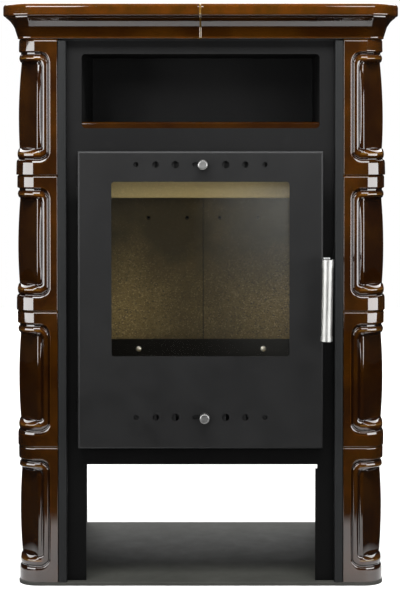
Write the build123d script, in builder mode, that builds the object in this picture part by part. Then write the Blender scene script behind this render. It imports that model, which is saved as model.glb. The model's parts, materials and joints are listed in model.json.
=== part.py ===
from build123d import *
import os

os.makedirs("parts", exist_ok=True)

# A freestanding tiled wood stove: a steel stove clad at its front corners in glazed relief
# tiles, under a glazed crown. Millimetres. The origin is the centre of the base plate's
# underside, +X to the right as seen from the front, +Y into the depth and +Z up.

# ---- Driving dimensions --------------------------------------------------------------

# Fits
seat_gap = 0.3  # between pieces that sit side by side
running_gap = 0.05  # radial, between a shaft and its bore
slide_gap = 0.25  # between a sliding strip and its guides
fixing_sides = 6  # spacers, screws and knob stems

# Casing
tiled_width = 545
base_depth = 400
base_inset = 1.5  # base plate behind the tiles' outer faces
base_thickness = 5
base_corner_radius = 29
body_height = 804  # from the base plate to the crown
frame_sheet = 2
post_width = 12.7
post_bend = 3
rear_flange = 13

# Relief tiles
tile_rows = 4
tile_joint = 0.4
tile_front_width = 61.5
tile_side_depth = 200
tile_corner_radius = 30
tile_wall = 11
tile_flange = 24
tile_inside_cut = 22  # across the corner of the hollow back
tile_margin_front = 9
tile_margin_rear = 14
tile_margin_end = 17
relief_depth = 3.8
bead_width = 9.6
bead_height = 2.9
bead_cut = 9  # the field's corners are cut across
groove_width = 4.5
pillow_depth = 2
pillow_flat = 34  # the pillow lies flat where it cuts the corner off at this distance, x plus y

# Crown
crown_height = 51
slab_thickness = 18.5
slab_overhang = 21
slab_top_chamfer = 6
slab_low_chamfer = 3
crown_rim_inset = 1
crown_corner_radius = 24
cove_start = 3
cove_belly = 3.6
cove_reach = 13
cove_top = 3
crown_top_wall = 14
crown_rim = 26
crown_split = 0.6
top_plate_thickness = 3

# Front panel
panel_recess = 13
panel_sheet = 2
niche_height = 172.9
niche_strip = 28  # panel left beside the niche
niche_notch = 3
compartment_strip = 22
compartment_above_door = 33.6
compartment_below_top = 22.3
compartment_radius = 6
compartment_depth = 225
compartment_sheet = 1.5
compartment_tile = 9
compartment_tile_round = 3

# Door
door_below = 27.1  # panel between the niche and the door
door_height = 438.4
door_side_gap = 17.4
door_proud = 8
door_sheet = 3
door_depth = 16.5
door_chamfer = 2
window_side = 49.6
window_bottom = 136
window_above = 45  # from the window to the door's top edge
window_radius = 4
glass_lap = 9
glass_thickness = 4
glass_tape = 1.5
tape_set_back = 1  # from the edge of the window
inner_sheet = 2
inner_frame_side = 14.6
inner_frame_end = 6
inner_frame_set_back = 2  # from the edge of the window
channel_wall = 3
channel_depth = 6.2
rope_width = 11
rope_round = 4
spacer_radius = 4
spacer_gap = 1
sealing_lip = 2

# Air controls in the door
air_row_low = 46.4
air_row_high = 19.6  # below the door's top edge
air_pitch = 28.9
air_first = 37
air_hole_radii = [5.5, 4.75, 3.75]
air_hole_sides = 10
air_slot_length = 23.6
air_slot_height = 6.6
air_strip_height = 18
air_strip_sheet = 1.5
air_strip_end = 10
air_inlet_end = 20  # inner frame left at each end of the air inlet
air_rest_high = 3.6
air_rest_low = 6.1
knob_radius = 7.6
knob_length = 12
knob_stem_radius = 3.1
knob_stand_off = 3
guide_strap = 8
guide_sheet = 1

# Hinge
hinge_inset = 2  # pin axis inside the door's left edge
hinge_back = 11  # pin axis behind the door's face
hinge_pin_radius = 3
knuckle_radius = 5
knuckle_length = 18
hinge_end = 52  # knuckle's distance from the door's top and bottom edges
hinge_notch = 2  # room above and below a hinge in the door's flange
bracket_length = 16

# Latch and handle
handle_reach = 34  # handle axis in front of the door's face
handle_side = 5  # latch axis outside the door's right edge
handle_height = 275.8  # latch axis above the door's bottom edge
handle_length = 118.7
handle_radius = 8
handle_wall = 1.5
handle_lean = 1.1
cap_radius = 8.75
cap_top = 12
cap_bottom = 7
latch_shaft_radius = 3.5
bush_length = 8
bush_half = 6
bush_recess = 1  # behind the door's face
cam_thickness = 6
cam_gap = 0.7  # between the bush's back and the cam
cam_nose = 3  # width of the nose
cam_throw = 8.9  # from the shaft's axis to the tip of the nose
cam_hub = 4.6
keeper_sheet = 1.2
keeper_bend = 2.4
keeper_width = 8
keeper_half = 28
keeper_flat = 9
keeper_foot = 10

# Firebox
firebox_side_gap = 10
firebox_wall = 4
firebox_back_gap = 38
firebox_floor = 26  # above the door's bottom edge
firebox_head = 16.6  # above the door's top edge
face_plate = 5
face_plate_low = 1  # above the door's bottom edge
mouth_inset = 21
mouth_above_window = 15
shaft_depth = 110
shaft_below_top = 12
shelf_sheet = 2
shelf_rise = 7
rail_width = 30
rail_wall = 3
rail_inset = 30
rail_end = 10
spigot_radius = 74.5
spigot_wall = 2
spigot_length = 78
spigot_below_top = 22

# Fire chamber
brick_back = 25
brick_side = 28
brick_floor = 25
lining_gap = 2
hearth_above_floor = 51
hearth_sheet = 4
ledge = 12
grate_slot_end = 15
grate_length = 180
grate_width = 150
grate_thickness = 16
grate_slot = 9
grate_pitch = 18
grate_slots = 7
grate_lap = 10
grate_from_mouth = 60
baffle_below_window = 22.4
baffle_thickness = 28
baffle_front = 130  # smoke gap between the mouth and the baffle
jet_radius = 3
jet_sides = 8
jet_inner = 27
jet_outer = 91
jet_below_baffle = 50
guard_height = 49
guard_sheet = 3
guard_back = 30
guard_foot = 18
guard_inset = 4
guard_screw_spread = 92.9
guard_screw_drop = 14.5
guard_screw_radius = 5
guard_screw_height = 3
pan_width = 220
pan_length = 210
pan_height = 45
pan_wall = 1.5
pan_from_mouth = 22
pan_lip = 10
pan_lip_width = 60

# Rear and side panels
rear_sheet = 1.5
rear_lift = 4
flue_clear = 6
mantle_sheet = 1.5
mantle_inset = 4.5
mantle_fold = 16
vent_length = 60
vent_width = 6
vent_pitch = 26
vents = 3
vent_side = 150
vent_from_end = 60
screw_head_radius = 4.5
screw_head_height = 2.5
screw_from_end = 24
screw_rows = 4

# ---- Places worked out from the driving dimensions -------------------------------------

front = -base_depth / 2
rear = base_depth / 2
floor = base_thickness
crown_bottom = floor + body_height
crown_top = crown_bottom + crown_height
frame_top = crown_bottom - top_plate_thickness

tile_pitch = body_height / tile_rows
tile_height = tile_pitch - tile_joint
tile_out = tiled_width / 2
tile_in = tile_out - tile_front_width
tile_rear = front + tile_side_depth
tile_bed = relief_depth + bead_height  # how deep the raised mouldings are rooted

frame_out = tile_in - seat_gap
frame_in = frame_out - post_width
panel_front = front + panel_recess
panel_back = panel_front + panel_sheet
frame_rear = rear - rear_sheet - seat_gap

niche_top = floor + niche_height
door_bottom = niche_top + door_below
door_top = door_bottom + door_height
door_middle = (door_bottom + door_top) / 2
door_half = frame_in - door_side_gap
door_front = front - door_proud
door_skin = door_front + door_sheet
door_back = door_front + door_depth
compartment_bottom = door_top + compartment_above_door
compartment_top = crown_bottom - compartment_below_top
compartment_half = frame_in - compartment_strip

window_half = door_half - window_side
window_low = door_bottom + window_bottom
window_high = door_top - window_above
window_height = window_high - window_low
window_middle = (window_low + window_high) / 2

inner_half = door_half - inner_frame_side
inner_low = door_bottom + inner_frame_end
inner_high = door_top - inner_frame_end
inner_middle = (inner_low + inner_high) / 2
inner_face = door_skin + glass_tape + glass_thickness + seat_gap
channel_face = inner_face + inner_sheet
channel_width = rope_width + 2 * seat_gap
mouth_half = inner_half - mouth_inset
mouth_low = door_bottom + firebox_floor
mouth_high = window_high + mouth_above_window

firebox_half = frame_in - firebox_side_gap
firebox_inner = firebox_half - firebox_wall
firebox_low = mouth_low - firebox_wall
firebox_high = door_top + firebox_head
firebox_back = rear - firebox_back_gap
shaft_front = firebox_back - shaft_depth
shaft_high = crown_bottom - shaft_below_top
shelf_low = niche_top
shelf_high = niche_top + shelf_rise
plate_back = panel_back + face_plate
lining_half = firebox_inner - seat_gap
lining_back = firebox_back - firebox_wall - seat_gap
lining_front = plate_back + lining_gap
hearth_low = mouth_low + hearth_above_floor
hearth_high = hearth_low + hearth_sheet
chamber_floor = hearth_high + brick_floor
chamber_half = lining_half - brick_side
chamber_back = lining_back - brick_back
baffle_low = window_high - baffle_below_window
grate_front = plate_back + grate_from_mouth
grate_middle = grate_front + grate_length / 2
spigot_z = shaft_high - spigot_below_top - spigot_radius
mantle_out = tile_out - mantle_inset


# ---- Helpers ---------------------------------------------------------------------------


def save(name, builder):
    """Label a finished piece with its name and write it."""
    builder.part.label = name
    export_step(builder.part, f"parts/{name}.step")


def save_pair(name, builder):
    """Write a right-hand piece and its mirror image on the left."""
    save(f"{name}_right", builder)
    with BuildPart() as twin:
        mirror(builder.part, about=Plane.YZ)
    save(f"{name}_left", twin)


def bent_sheet(points, bends, thickness, side, bottom, height):
    """An upright folded sheet: its outer line in plan, the radius of each bend and its height."""
    with BuildPart() as sheet:
        with BuildSketch(Plane.XY.offset(bottom)):
            with BuildLine():
                FilletPolyline(*points, radius=bends)
                offset(amount=thickness, side=side)
            make_face()
        extrude(amount=height)
    return sheet


def facing(y):
    """A plane at depth y, seen from the front: local x to the right, local y up."""
    return Plane(origin=(0, y, 0), x_dir=(1, 0, 0), z_dir=(0, -1, 0))


# ---- Base, side frames and top plate ---------------------------------------------------


def build_base_plate():
    with BuildPart() as base_plate:
        with BuildSketch():
            Rectangle(tiled_width - 2 * base_inset, base_depth)
            fillet(vertices().group_by(Axis.Y)[0], radius=base_corner_radius)
        extrude(amount=base_thickness)
    save("base_plate", base_plate)


def build_side_frames():
    # The folded front edge of each frame is the steel post beside the tiles.
    outline = [
        (frame_in, panel_front),
        (frame_in, front),
        (frame_out, front),
        (frame_out, frame_rear),
        (frame_out - rear_flange, frame_rear),
    ]
    bends = [post_bend, post_bend, 0]
    height = frame_top - floor
    side_frame = bent_sheet(outline, bends, frame_sheet, Side.LEFT, floor, height)
    save_pair("side_frame", side_frame)


def build_top_plate():
    # Wider behind the tiles, where it closes the space inside the side mantles.
    wing_front = tile_rear + mantle_sheet + 2 * seat_gap
    wing_half = mantle_out - mantle_sheet - 2 * seat_gap
    with BuildPart() as top_plate:
        with BuildSketch(Plane.XY.offset(frame_top)):
            with Locations((0, (frame_rear + panel_front) / 2)):
                Rectangle(2 * frame_out, frame_rear - panel_front)
            with Locations((0, (frame_rear + wing_front) / 2)):
                Rectangle(2 * wing_half, frame_rear - wing_front)
        extrude(amount=top_plate_thickness)
    save("top_plate", top_plate)


# ---- Relief tiles ----------------------------------------------------------------------


def relief_ends(set_in):
    """Where the relief ends, set in from the field's edge: in x, in y and above the foot."""
    end_x = tile_in + tile_margin_front + set_in
    end_y = tile_rear - tile_margin_rear - set_in
    return end_x, end_y, tile_margin_end + set_in


def wrapped_band(set_in, outer_depth, inner_depth, corner_cut):
    """A band round the tile's corner, between two depths and set in from the field's edge."""
    end_x, end_y, low = relief_ends(set_in)
    with BuildPart() as band:
        with BuildSketch(Plane.XY.offset(low)):
            with BuildLine():
                FilletPolyline(
                    (end_x, front + outer_depth),
                    (tile_out - outer_depth, front + outer_depth),
                    (tile_out - outer_depth, end_y),
                    radius=tile_corner_radius - outer_depth,
                )
                offset(amount=inner_depth - outer_depth, side=Side.LEFT)
            make_face()
        extrude(amount=tile_height - 2 * low)
        chamfer(edges().filter_by(Axis.Y).group_by(Axis.X)[0], length=corner_cut)
        chamfer(edges().filter_by(Axis.X).group_by(Axis.Y)[-1], length=corner_cut)
    return band


def pillow_clearance(set_in, corner_cut):
    """What is cleared in front of the pillow, which lies flat across the tile's corner."""
    end_x, end_y, low = relief_ends(set_in)
    turn = pillow_flat - pillow_depth
    with BuildPart() as clearance:
        with BuildSketch(Plane.XY.offset(low)):
            with BuildLine():
                Polyline(
                    (end_x, front + pillow_depth),
                    (tile_out - turn, front + pillow_depth),
                    (tile_out - pillow_depth, front + turn),
                    (tile_out - pillow_depth, end_y),
                    (tile_out + seat_gap, end_y),
                    (tile_out + seat_gap, front - seat_gap),
                    (end_x, front - seat_gap),
                    close=True,
                )
            make_face()
        extrude(amount=tile_height - 2 * low)
        chamfer(edges().filter_by(Axis.Y).group_by(Axis.X)[0], length=corner_cut)
        chamfer(edges().filter_by(Axis.X).group_by(Axis.Y)[-1], length=corner_cut)
    return clearance


def build_tiles():
    bead_out = relief_depth - bead_height
    inside_x = tile_out - tile_wall
    inside_y = front + tile_wall
    field = wrapped_band(0, -seat_gap, relief_depth, bead_cut)
    bead = wrapped_band(groove_width, bead_out, tile_bed, bead_cut)
    clearance = pillow_clearance(groove_width + bead_width, bead_cut)
    with BuildPart() as tile:
        with BuildSketch():
            with BuildLine():
                outside = FilletPolyline(
                    (tile_in, front + tile_flange),
                    (tile_in, front),
                    (tile_out, front),
                    (tile_out, tile_rear),
                    (tile_out - tile_flange, tile_rear),
                    radius=[0, tile_corner_radius, 0],
                )
                Polyline(
                    outside @ 1,
                    (tile_out - tile_flange, tile_rear - tile_wall),
                    (inside_x, tile_rear - tile_wall),
                    (inside_x, inside_y + tile_inside_cut),
                    (inside_x - tile_inside_cut, inside_y),
                    (tile_in + tile_wall, inside_y),
                    (tile_in + tile_wall, front + tile_flange),
                    outside @ 0,
                )
            make_face()
        extrude(amount=tile_height)
        add(field.part, mode=Mode.SUBTRACT)
        add(bead.part)
        add(clearance.part, mode=Mode.SUBTRACT)
    for row in range(tile_rows):
        with BuildPart() as course:
            with Locations((0, 0, floor + row * tile_pitch)):
                add(tile.part)
        save(f"tile_right_{row + 1}", course)
        with BuildPart() as twin:
            mirror(course.part, about=Plane.YZ)
        save(f"tile_left_{row + 1}", twin)


# ---- Crown -----------------------------------------------------------------------------


def build_crown():
    """Half of the glazed crown: a slab over a cove, hollow below."""
    body_out = tile_out - crown_rim_inset
    body_front = front - crown_rim_inset
    split = crown_split / 2
    slab_bottom = crown_top - slab_thickness
    cove_bottom = crown_bottom + cove_start
    quirk = slab_bottom - cove_top
    with BuildPart() as crown:
        with BuildSketch(Plane.XY.offset(crown_bottom)):
            with BuildLine():
                FilletPolyline(
                    (split, rear),
                    (split, body_front),
                    (body_out, body_front),
                    (body_out, rear),
                    (split, rear),
                    radius=[0, 0, crown_corner_radius, 0],
                )
            make_face()
        extrude(amount=crown_height - slab_thickness)
        with BuildSketch(Plane.XY.offset(slab_bottom)):
            with BuildLine():
                FilletPolyline(
                    (split, rear),
                    (split, body_front - slab_overhang),
                    (body_out + slab_overhang, body_front - slab_overhang),
                    (body_out + slab_overhang, rear),
                    (split, rear),
                    radius=[0, 0, crown_corner_radius + slab_overhang, 0],
                )
            make_face()
        extrude(amount=slab_thickness)
        overhang = edges().filter_by(
            lambda edge: (edge @ 0.5).Y < body_front - cove_reach
            or ((edge @ 0.5).X > body_out + cove_reach and (edge @ 0.5).Y < rear - slab_top_chamfer)
        )
        chamfer(overhang.group_by(Axis.Z)[-1], length=slab_top_chamfer)
        chamfer(overhang.group_by(Axis.Z)[0], length=slab_low_chamfer)
        with BuildLine() as course:
            FilletPolyline(
                (split, body_front, 0),
                (body_out, body_front, 0),
                (body_out, rear, 0),
                radius=crown_corner_radius,
            )
        path = course.wires()[0]
        with BuildSketch(Plane(origin=path @ 0, x_dir=(0, -1, 0), z_dir=(-1, 0, 0))):
            with BuildLine():
                Polyline(
                    (0, cove_bottom),
                    (cove_belly, (cove_bottom + quirk) / 2),
                    (cove_reach, quirk),
                    (cove_reach, slab_bottom + crown_split),
                    (-crown_split, slab_bottom + crown_split),
                    (-crown_split, cove_bottom),
                    (0, cove_bottom),
                )
            make_face()
        sweep(path=path)
        with BuildSketch(Plane.XY.offset(crown_bottom)):
            with BuildLine():
                Polyline(
                    (split + crown_rim, body_front + crown_rim),
                    (body_out - crown_rim, body_front + crown_rim),
                    (body_out - crown_rim, rear - crown_rim),
                    (split + crown_rim, rear - crown_rim),
                    close=True,
                )
            make_face()
        extrude(amount=crown_height - crown_top_wall, mode=Mode.SUBTRACT)
    save_pair("crown", crown)


# ---- Front panel and warming compartment -----------------------------------------------


def build_front_panel():
    height = frame_top - floor
    with BuildPart() as front_panel:
        with BuildSketch(facing(panel_back)):
            with Locations((0, floor + height / 2)):
                Rectangle(2 * frame_in, height)
            with Locations((0, (compartment_bottom + compartment_top) / 2)):
                RectangleRounded(
                    2 * compartment_half,
                    compartment_top - compartment_bottom,
                    compartment_radius,
                    mode=Mode.SUBTRACT,
                )
            with Locations((0, inner_middle)):
                Rectangle(
                    2 * (inner_half + sealing_lip),
                    inner_high - inner_low + 2 * sealing_lip,
                    mode=Mode.SUBTRACT,
                )
            with Locations((0, floor + niche_height / 2)):
                Rectangle(2 * (frame_in - niche_strip), niche_height, mode=Mode.SUBTRACT)
            with Locations(
                (frame_in - niche_strip, niche_top - niche_notch),
                (niche_strip - frame_in, niche_top - niche_notch),
            ):
                Rectangle(2 * niche_notch, 2 * niche_notch, mode=Mode.SUBTRACT)
        extrude(amount=panel_sheet)
    save("front_panel", front_panel)


def build_compartment():
    half = compartment_half + compartment_sheet
    low = compartment_bottom - compartment_sheet
    high = compartment_top + compartment_sheet
    with BuildPart() as liner:
        with BuildSketch(facing(panel_back)):
            with Locations((0, (low + high) / 2)):
                Rectangle(2 * half, high - low)
        extrude(amount=-compartment_depth)
        offset(
            amount=-compartment_sheet,
            openings=faces().sort_by(Axis.Y)[0],
            kind=Kind.INTERSECTION,
        )
    save("compartment_liner", liner)

    # Two glazed tiles lie on the floor of the compartment.
    tile_half = compartment_half - seat_gap
    tile_front = panel_back + seat_gap
    tile_depth = compartment_depth - compartment_sheet - 2 * seat_gap
    with BuildPart() as slab:
        with BuildSketch(Plane.XY.offset(compartment_bottom)):
            with Locations(((tile_half + crown_split / 2) / 2, tile_front + tile_depth / 2)):
                Rectangle(tile_half - crown_split / 2, tile_depth)
        extrude(amount=compartment_tile)
        top_front = edges().filter_by(Axis.X).group_by(Axis.Z)[-1].sort_by(Axis.Y)[0]
        fillet(top_front, radius=compartment_tile_round)
    save_pair("compartment_tile", slab)


# ---- Door ------------------------------------------------------------------------------


def air_row(height):
    """Places of the air holes along a row, each with its radius."""
    places = []
    for index, radius in enumerate(air_hole_radii):
        for sign in (-1, 1):
            places.append((sign * (air_first + index * air_pitch), height, radius))
    return places


air_low = door_bottom + air_row_low
air_high = door_top - air_row_high
hinge_x = -door_half + hinge_inset
hinge_y = door_front + hinge_back
hinge_levels = [door_bottom + hinge_end, door_top - hinge_end]


def build_door_plate():
    """The door's outer shell: a folded tray, open behind, chamfered round its face."""
    with BuildPart() as door_plate:
        with BuildSketch(facing(door_front)):
            with Locations((0, door_middle)):
                Rectangle(2 * door_half, door_height)
        extrude(amount=-door_depth)
        offset(
            amount=-door_sheet,
            openings=faces().sort_by(Axis.Y)[-1],
            kind=Kind.INTERSECTION,
        )
        chamfer(faces().sort_by(Axis.Y)[0].edges(), length=door_chamfer)
        with BuildSketch(facing(door_front)):
            with Locations((0, window_middle)):
                RectangleRounded(2 * window_half, window_height, window_radius)
            for level in (air_low, air_high):
                with Locations((0, level)):
                    Rectangle(air_slot_length, air_slot_height)
                for x, z, radius in air_row(level):
                    with Locations((x, z)):
                        RegularPolygon(radius, air_hole_sides)
        extrude(amount=-door_sheet, mode=Mode.SUBTRACT)
        # Notches in the left flange leave room for the hinges.
        for level in hinge_levels:
            with BuildSketch(Plane.XY.offset(level - bracket_length - hinge_notch)):
                with Locations((-door_half, (door_skin + door_back) / 2)):
                    Rectangle(2 * door_sheet + seat_gap, door_back - door_skin)
            notch = bracket_length + knuckle_length + 2 * hinge_notch
            extrude(amount=notch, mode=Mode.SUBTRACT)
    save("door_plate", door_plate)


def build_door_inside():
    width = 2 * window_half + 2 * glass_lap
    height = window_height + 2 * glass_lap
    tape_back = door_skin + glass_tape
    with BuildPart() as tape:
        with BuildSketch(facing(tape_back)):
            with Locations((0, window_middle)):
                Rectangle(width, height)
                Rectangle(
                    2 * window_half + 2 * tape_set_back,
                    window_height + 2 * tape_set_back,
                    mode=Mode.SUBTRACT,
                )
        extrude(amount=glass_tape)
    save("glass_tape", tape)

    with BuildPart() as glass:
        with BuildSketch(facing(tape_back + glass_thickness)):
            with Locations((0, window_middle)):
                Rectangle(width, height)
        extrude(amount=glass_thickness)
    save("glass_pane", glass)

    # The inner frame holds the glass and carries the rope in a channel round its edge.
    channel_outer = inner_half - channel_wall
    channel_inner = channel_outer - channel_width
    with BuildPart() as frame:
        with BuildSketch(facing(channel_face)):
            with Locations((0, inner_middle)):
                Rectangle(2 * inner_half, inner_high - inner_low)
            with Locations((0, window_middle)):
                Rectangle(
                    2 * window_half + 2 * inner_frame_set_back,
                    window_height + 2 * inner_frame_set_back,
                    mode=Mode.SUBTRACT,
                )
            with Locations((0, air_low)):
                Rectangle(
                    2 * channel_inner - 2 * air_inlet_end,
                    air_strip_height,
                    mode=Mode.SUBTRACT,
                )
        extrude(amount=inner_sheet)
        for outer, inner in (
            (inner_half, channel_outer),
            (channel_inner, channel_inner - channel_wall),
        ):
            drop = inner_half - outer
            wall = outer - inner
            with BuildSketch(facing(channel_face + channel_depth)):
                with Locations((0, inner_middle)):
                    Rectangle(2 * outer, inner_high - inner_low - 2 * drop)
                    Rectangle(
                        2 * inner,
                        inner_high - inner_low - 2 * drop - 2 * wall,
                        mode=Mode.SUBTRACT,
                    )
            extrude(amount=channel_depth)
    save("door_inner_frame", frame)

    rope_outer = channel_outer - seat_gap
    rope_high = inner_high - channel_wall - seat_gap
    rope_low = inner_low + channel_wall + seat_gap
    rope_front = channel_face + seat_gap
    rope_back = panel_back - seat_gap
    with BuildPart() as rope:
        with BuildSketch(facing(rope_back)):
            with Locations((0, inner_middle)):
                Rectangle(2 * rope_outer, rope_high - rope_low)
                Rectangle(
                    2 * (rope_outer - rope_width),
                    rope_high - rope_low - 2 * rope_width,
                    mode=Mode.SUBTRACT,
                )
        extrude(amount=rope_back - rope_front)
        chamfer(faces().sort_by(Axis.Y)[-1].edges(), length=rope_round / 2)
    save("door_rope", rope)

    spacer_x = window_half + glass_lap + spacer_radius + spacer_gap
    with BuildPart() as spacers:
        with BuildSketch(facing(inner_face)):
            with Locations((0, window_middle)):
                with GridLocations(2 * spacer_x, window_height / 2, 2, 3):
                    RegularPolygon(spacer_radius, fixing_sides)
        extrude(amount=inner_face - door_skin)
    save("door_spacers", spacers)


def build_air_control(name, level, rest):
    """A sliding strip behind the door's face, with its knob in front."""
    strip_front = door_skin + slide_gap
    strip_back = strip_front + air_strip_sheet
    last = air_first + (len(air_hole_radii) - 1) * air_pitch
    with BuildPart() as strip:
        with BuildSketch(facing(strip_back)):
            with Locations((rest, level)):
                Rectangle(2 * (last + air_strip_end), air_strip_height)
                for x, z, radius in air_row(0):
                    with Locations((x, z)):
                        Rectangle(2 * radius, 2 * radius, mode=Mode.SUBTRACT)
        extrude(amount=air_strip_sheet)
    save(f"{name}_air_strip", strip)

    knob_back = door_front - knob_stand_off
    knob_front = knob_back - knob_length
    with BuildPart() as knob:
        with BuildSketch(facing(strip_front)):
            with Locations((rest, level)):
                RegularPolygon(knob_stem_radius, fixing_sides)
        extrude(amount=strip_front - knob_back)
        with BuildSketch(facing(knob_back)):
            with Locations((rest, level)):
                Circle(knob_radius)
        extrude(amount=knob_length)
    save(f"{name}_air_knob", knob)


def build_air_guides():
    strap_x = (air_first + air_first + air_pitch) / 2
    reach = air_strip_height / 2 + slide_gap
    strap_front = door_skin + 2 * slide_gap + air_strip_sheet
    with BuildPart() as guides:
        for level in (air_low, air_high):
            for x in (-strap_x, strap_x):
                with BuildSketch(Plane.YZ.offset(x - guide_strap / 2)):
                    with BuildLine():
                        Polyline(
                            (door_skin, level - reach),
                            (strap_front, level - reach),
                            (strap_front, level + reach),
                            (door_skin, level + reach),
                        )
                        offset(amount=guide_sheet, side=Side.RIGHT, kind=Kind.INTERSECTION)
                    make_face()
                extrude(amount=guide_strap)
    save("air_strip_guides", guides)


# ---- Hinges ----------------------------------------------------------------------------


def build_hinges():
    axis = (hinge_x, hinge_y)
    block_front = hinge_y - knuckle_radius
    with BuildPart() as brackets:
        for level in hinge_levels:
            with BuildSketch(Plane.XY.offset(level - seat_gap / 2)):
                with Locations((hinge_x, (block_front + panel_front) / 2)):
                    Rectangle(2 * knuckle_radius, panel_front - block_front)
            extrude(amount=-bracket_length)
            # The pin is pressed into its bracket, and the door's knuckle is lowered onto it.
            with BuildSketch(Plane.XY.offset(level - seat_gap / 2)):
                with Locations(axis):
                    Circle(hinge_pin_radius)
            extrude(amount=knuckle_length)
    save("hinge_brackets", brackets)

    # The knuckles are welded to the inside of the door's face by a short web.
    with BuildPart() as knuckles:
        for level in hinge_levels:
            with BuildSketch(Plane.XY.offset(level + seat_gap / 2)):
                with Locations(axis):
                    Circle(knuckle_radius)
                with Locations((hinge_x + knuckle_radius / 2, (hinge_y + door_skin) / 2)):
                    Rectangle(knuckle_radius, hinge_y - door_skin)
                with Locations(axis):
                    Circle(hinge_pin_radius + running_gap, mode=Mode.SUBTRACT)
            extrude(amount=knuckle_length)
    save("door_knuckles", knuckles)


# ---- Latch and handle ------------------------------------------------------------------

latch_x = door_half + handle_side
latch_z = door_bottom + handle_height
handle_y = door_front - handle_reach
bush_front = door_front + bush_recess
bush_back = bush_front + bush_length
cam_front = bush_back + cam_gap
cam_back = cam_front + cam_thickness
cam_reach = latch_x + cam_throw


def build_latch():
    with BuildPart() as bush:
        with BuildSketch(facing(bush_back)):
            with Locations((latch_x, latch_z)):
                Rectangle(2 * handle_side, 2 * bush_half)
                Circle(latch_shaft_radius + running_gap, mode=Mode.SUBTRACT)
        extrude(amount=bush_length)
    save("latch_bush", bush)

    with BuildPart() as shaft:
        with BuildSketch(facing(cam_back)):
            with Locations((latch_x, latch_z)):
                Circle(latch_shaft_radius)
        extrude(amount=cam_back - handle_y)
    save("latch_shaft", shaft)

    with BuildPart() as cam:
        with BuildSketch(facing(cam_back)):
            with Locations((latch_x, latch_z)):
                Circle(cam_hub)
                Rectangle(cam_throw, cam_nose, align=(Align.MIN, Align.CENTER))
                Circle(latch_shaft_radius, mode=Mode.SUBTRACT)
        extrude(amount=cam_thickness)
    save("latch_cam", cam)


def build_keeper():
    """A bowed leaf on the right-hand post: the cam bears on its crown."""
    crown_x = cam_reach + seat_gap
    foot_x = frame_in
    middle_y = (cam_front + cam_back) / 2
    with BuildPart() as keeper:
        with BuildSketch(facing(middle_y + keeper_width / 2)):
            with BuildLine():
                FilletPolyline(
                    (foot_x, latch_z - keeper_half),
                    (foot_x, latch_z - keeper_half + keeper_foot),
                    (crown_x + keeper_sheet, latch_z - keeper_flat),
                    (crown_x + keeper_sheet, latch_z + keeper_flat),
                    (foot_x, latch_z + keeper_half - keeper_foot),
                    (foot_x, latch_z + keeper_half),
                    radius=keeper_bend,
                )
                offset(amount=keeper_sheet, side=Side.LEFT)
            make_face()
        extrude(amount=keeper_width)
    save("latch_keeper", keeper)


def build_handle():
    # The handle hangs from the latch shaft and leans a little towards the door.
    hang = Plane(origin=(latch_x, handle_y, latch_z), x_dir=(1, 0, 0), z_dir=(0, 0, -1))
    hang = hang.rotated((0, handle_lean, 0))
    tube_start = cap_top / 2
    tube_end = handle_length - cap_top / 2 - cap_bottom
    with BuildPart() as tube:
        with BuildSketch(hang.offset(tube_start)):
            Circle(handle_radius)
            Circle(handle_radius - handle_wall, mode=Mode.SUBTRACT)
        extrude(amount=tube_end - tube_start)
    save("handle_tube", tube)

    with BuildPart() as caps:
        with BuildSketch(hang.offset(-cap_top / 2)):
            Circle(cap_radius)
        extrude(amount=cap_top)
        with BuildSketch(hang.offset(tube_end)):
            Circle(cap_radius)
        extrude(amount=cap_bottom)
        with BuildSketch(facing(door_front)):
            with Locations((latch_x, latch_z)):
                Circle(latch_shaft_radius)
        extrude(amount=handle_reach, mode=Mode.SUBTRACT)
    save("handle_caps", caps)


# ---- Firebox ---------------------------------------------------------------------------


def build_shelf():
    """The folded shelf over the wood niche, and the rails that lift the firebox off it."""
    shelf_half = frame_out - frame_sheet - seat_gap
    shelf_front = panel_back + seat_gap
    shelf_back = frame_rear - frame_sheet - seat_gap
    with BuildPart() as shelf:
        with BuildSketch(Plane.YZ.offset(-shelf_half)):
            with BuildLine():
                Polyline(
                    (shelf_front, shelf_low),
                    (shelf_front, shelf_high),
                    (shelf_back, shelf_high),
                    (shelf_back, shelf_low),
                )
                offset(amount=shelf_sheet, side=Side.RIGHT, kind=Kind.INTERSECTION)
            make_face()
        extrude(amount=2 * shelf_half)
    save("niche_shelf", shelf)

    rail_x = firebox_half - rail_inset
    height = firebox_low - shelf_high
    with BuildPart() as rails:
        for x in (-rail_x, rail_x):
            with BuildSketch(facing(firebox_back - rail_end)):
                with Locations((x, shelf_high + height / 2)):
                    Rectangle(rail_width, height)
                with Locations((x, shelf_high + (height - rail_wall) / 2)):
                    Rectangle(rail_width - 2 * rail_wall, height - rail_wall, mode=Mode.SUBTRACT)
            extrude(amount=firebox_back - 2 * rail_end - panel_back)
    save("firebox_rails", rails)


def firebox_outline(inset):
    """The firebox seen from the side, with the smoke shaft that rises at its back."""
    return [
        (plate_back, firebox_low + inset),
        (firebox_back - inset, firebox_low + inset),
        (firebox_back - inset, shaft_high - inset),
        (shaft_front + inset, shaft_high - inset),
        (shaft_front + inset, firebox_high - inset),
        (plate_back, firebox_high - inset),
    ]


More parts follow.
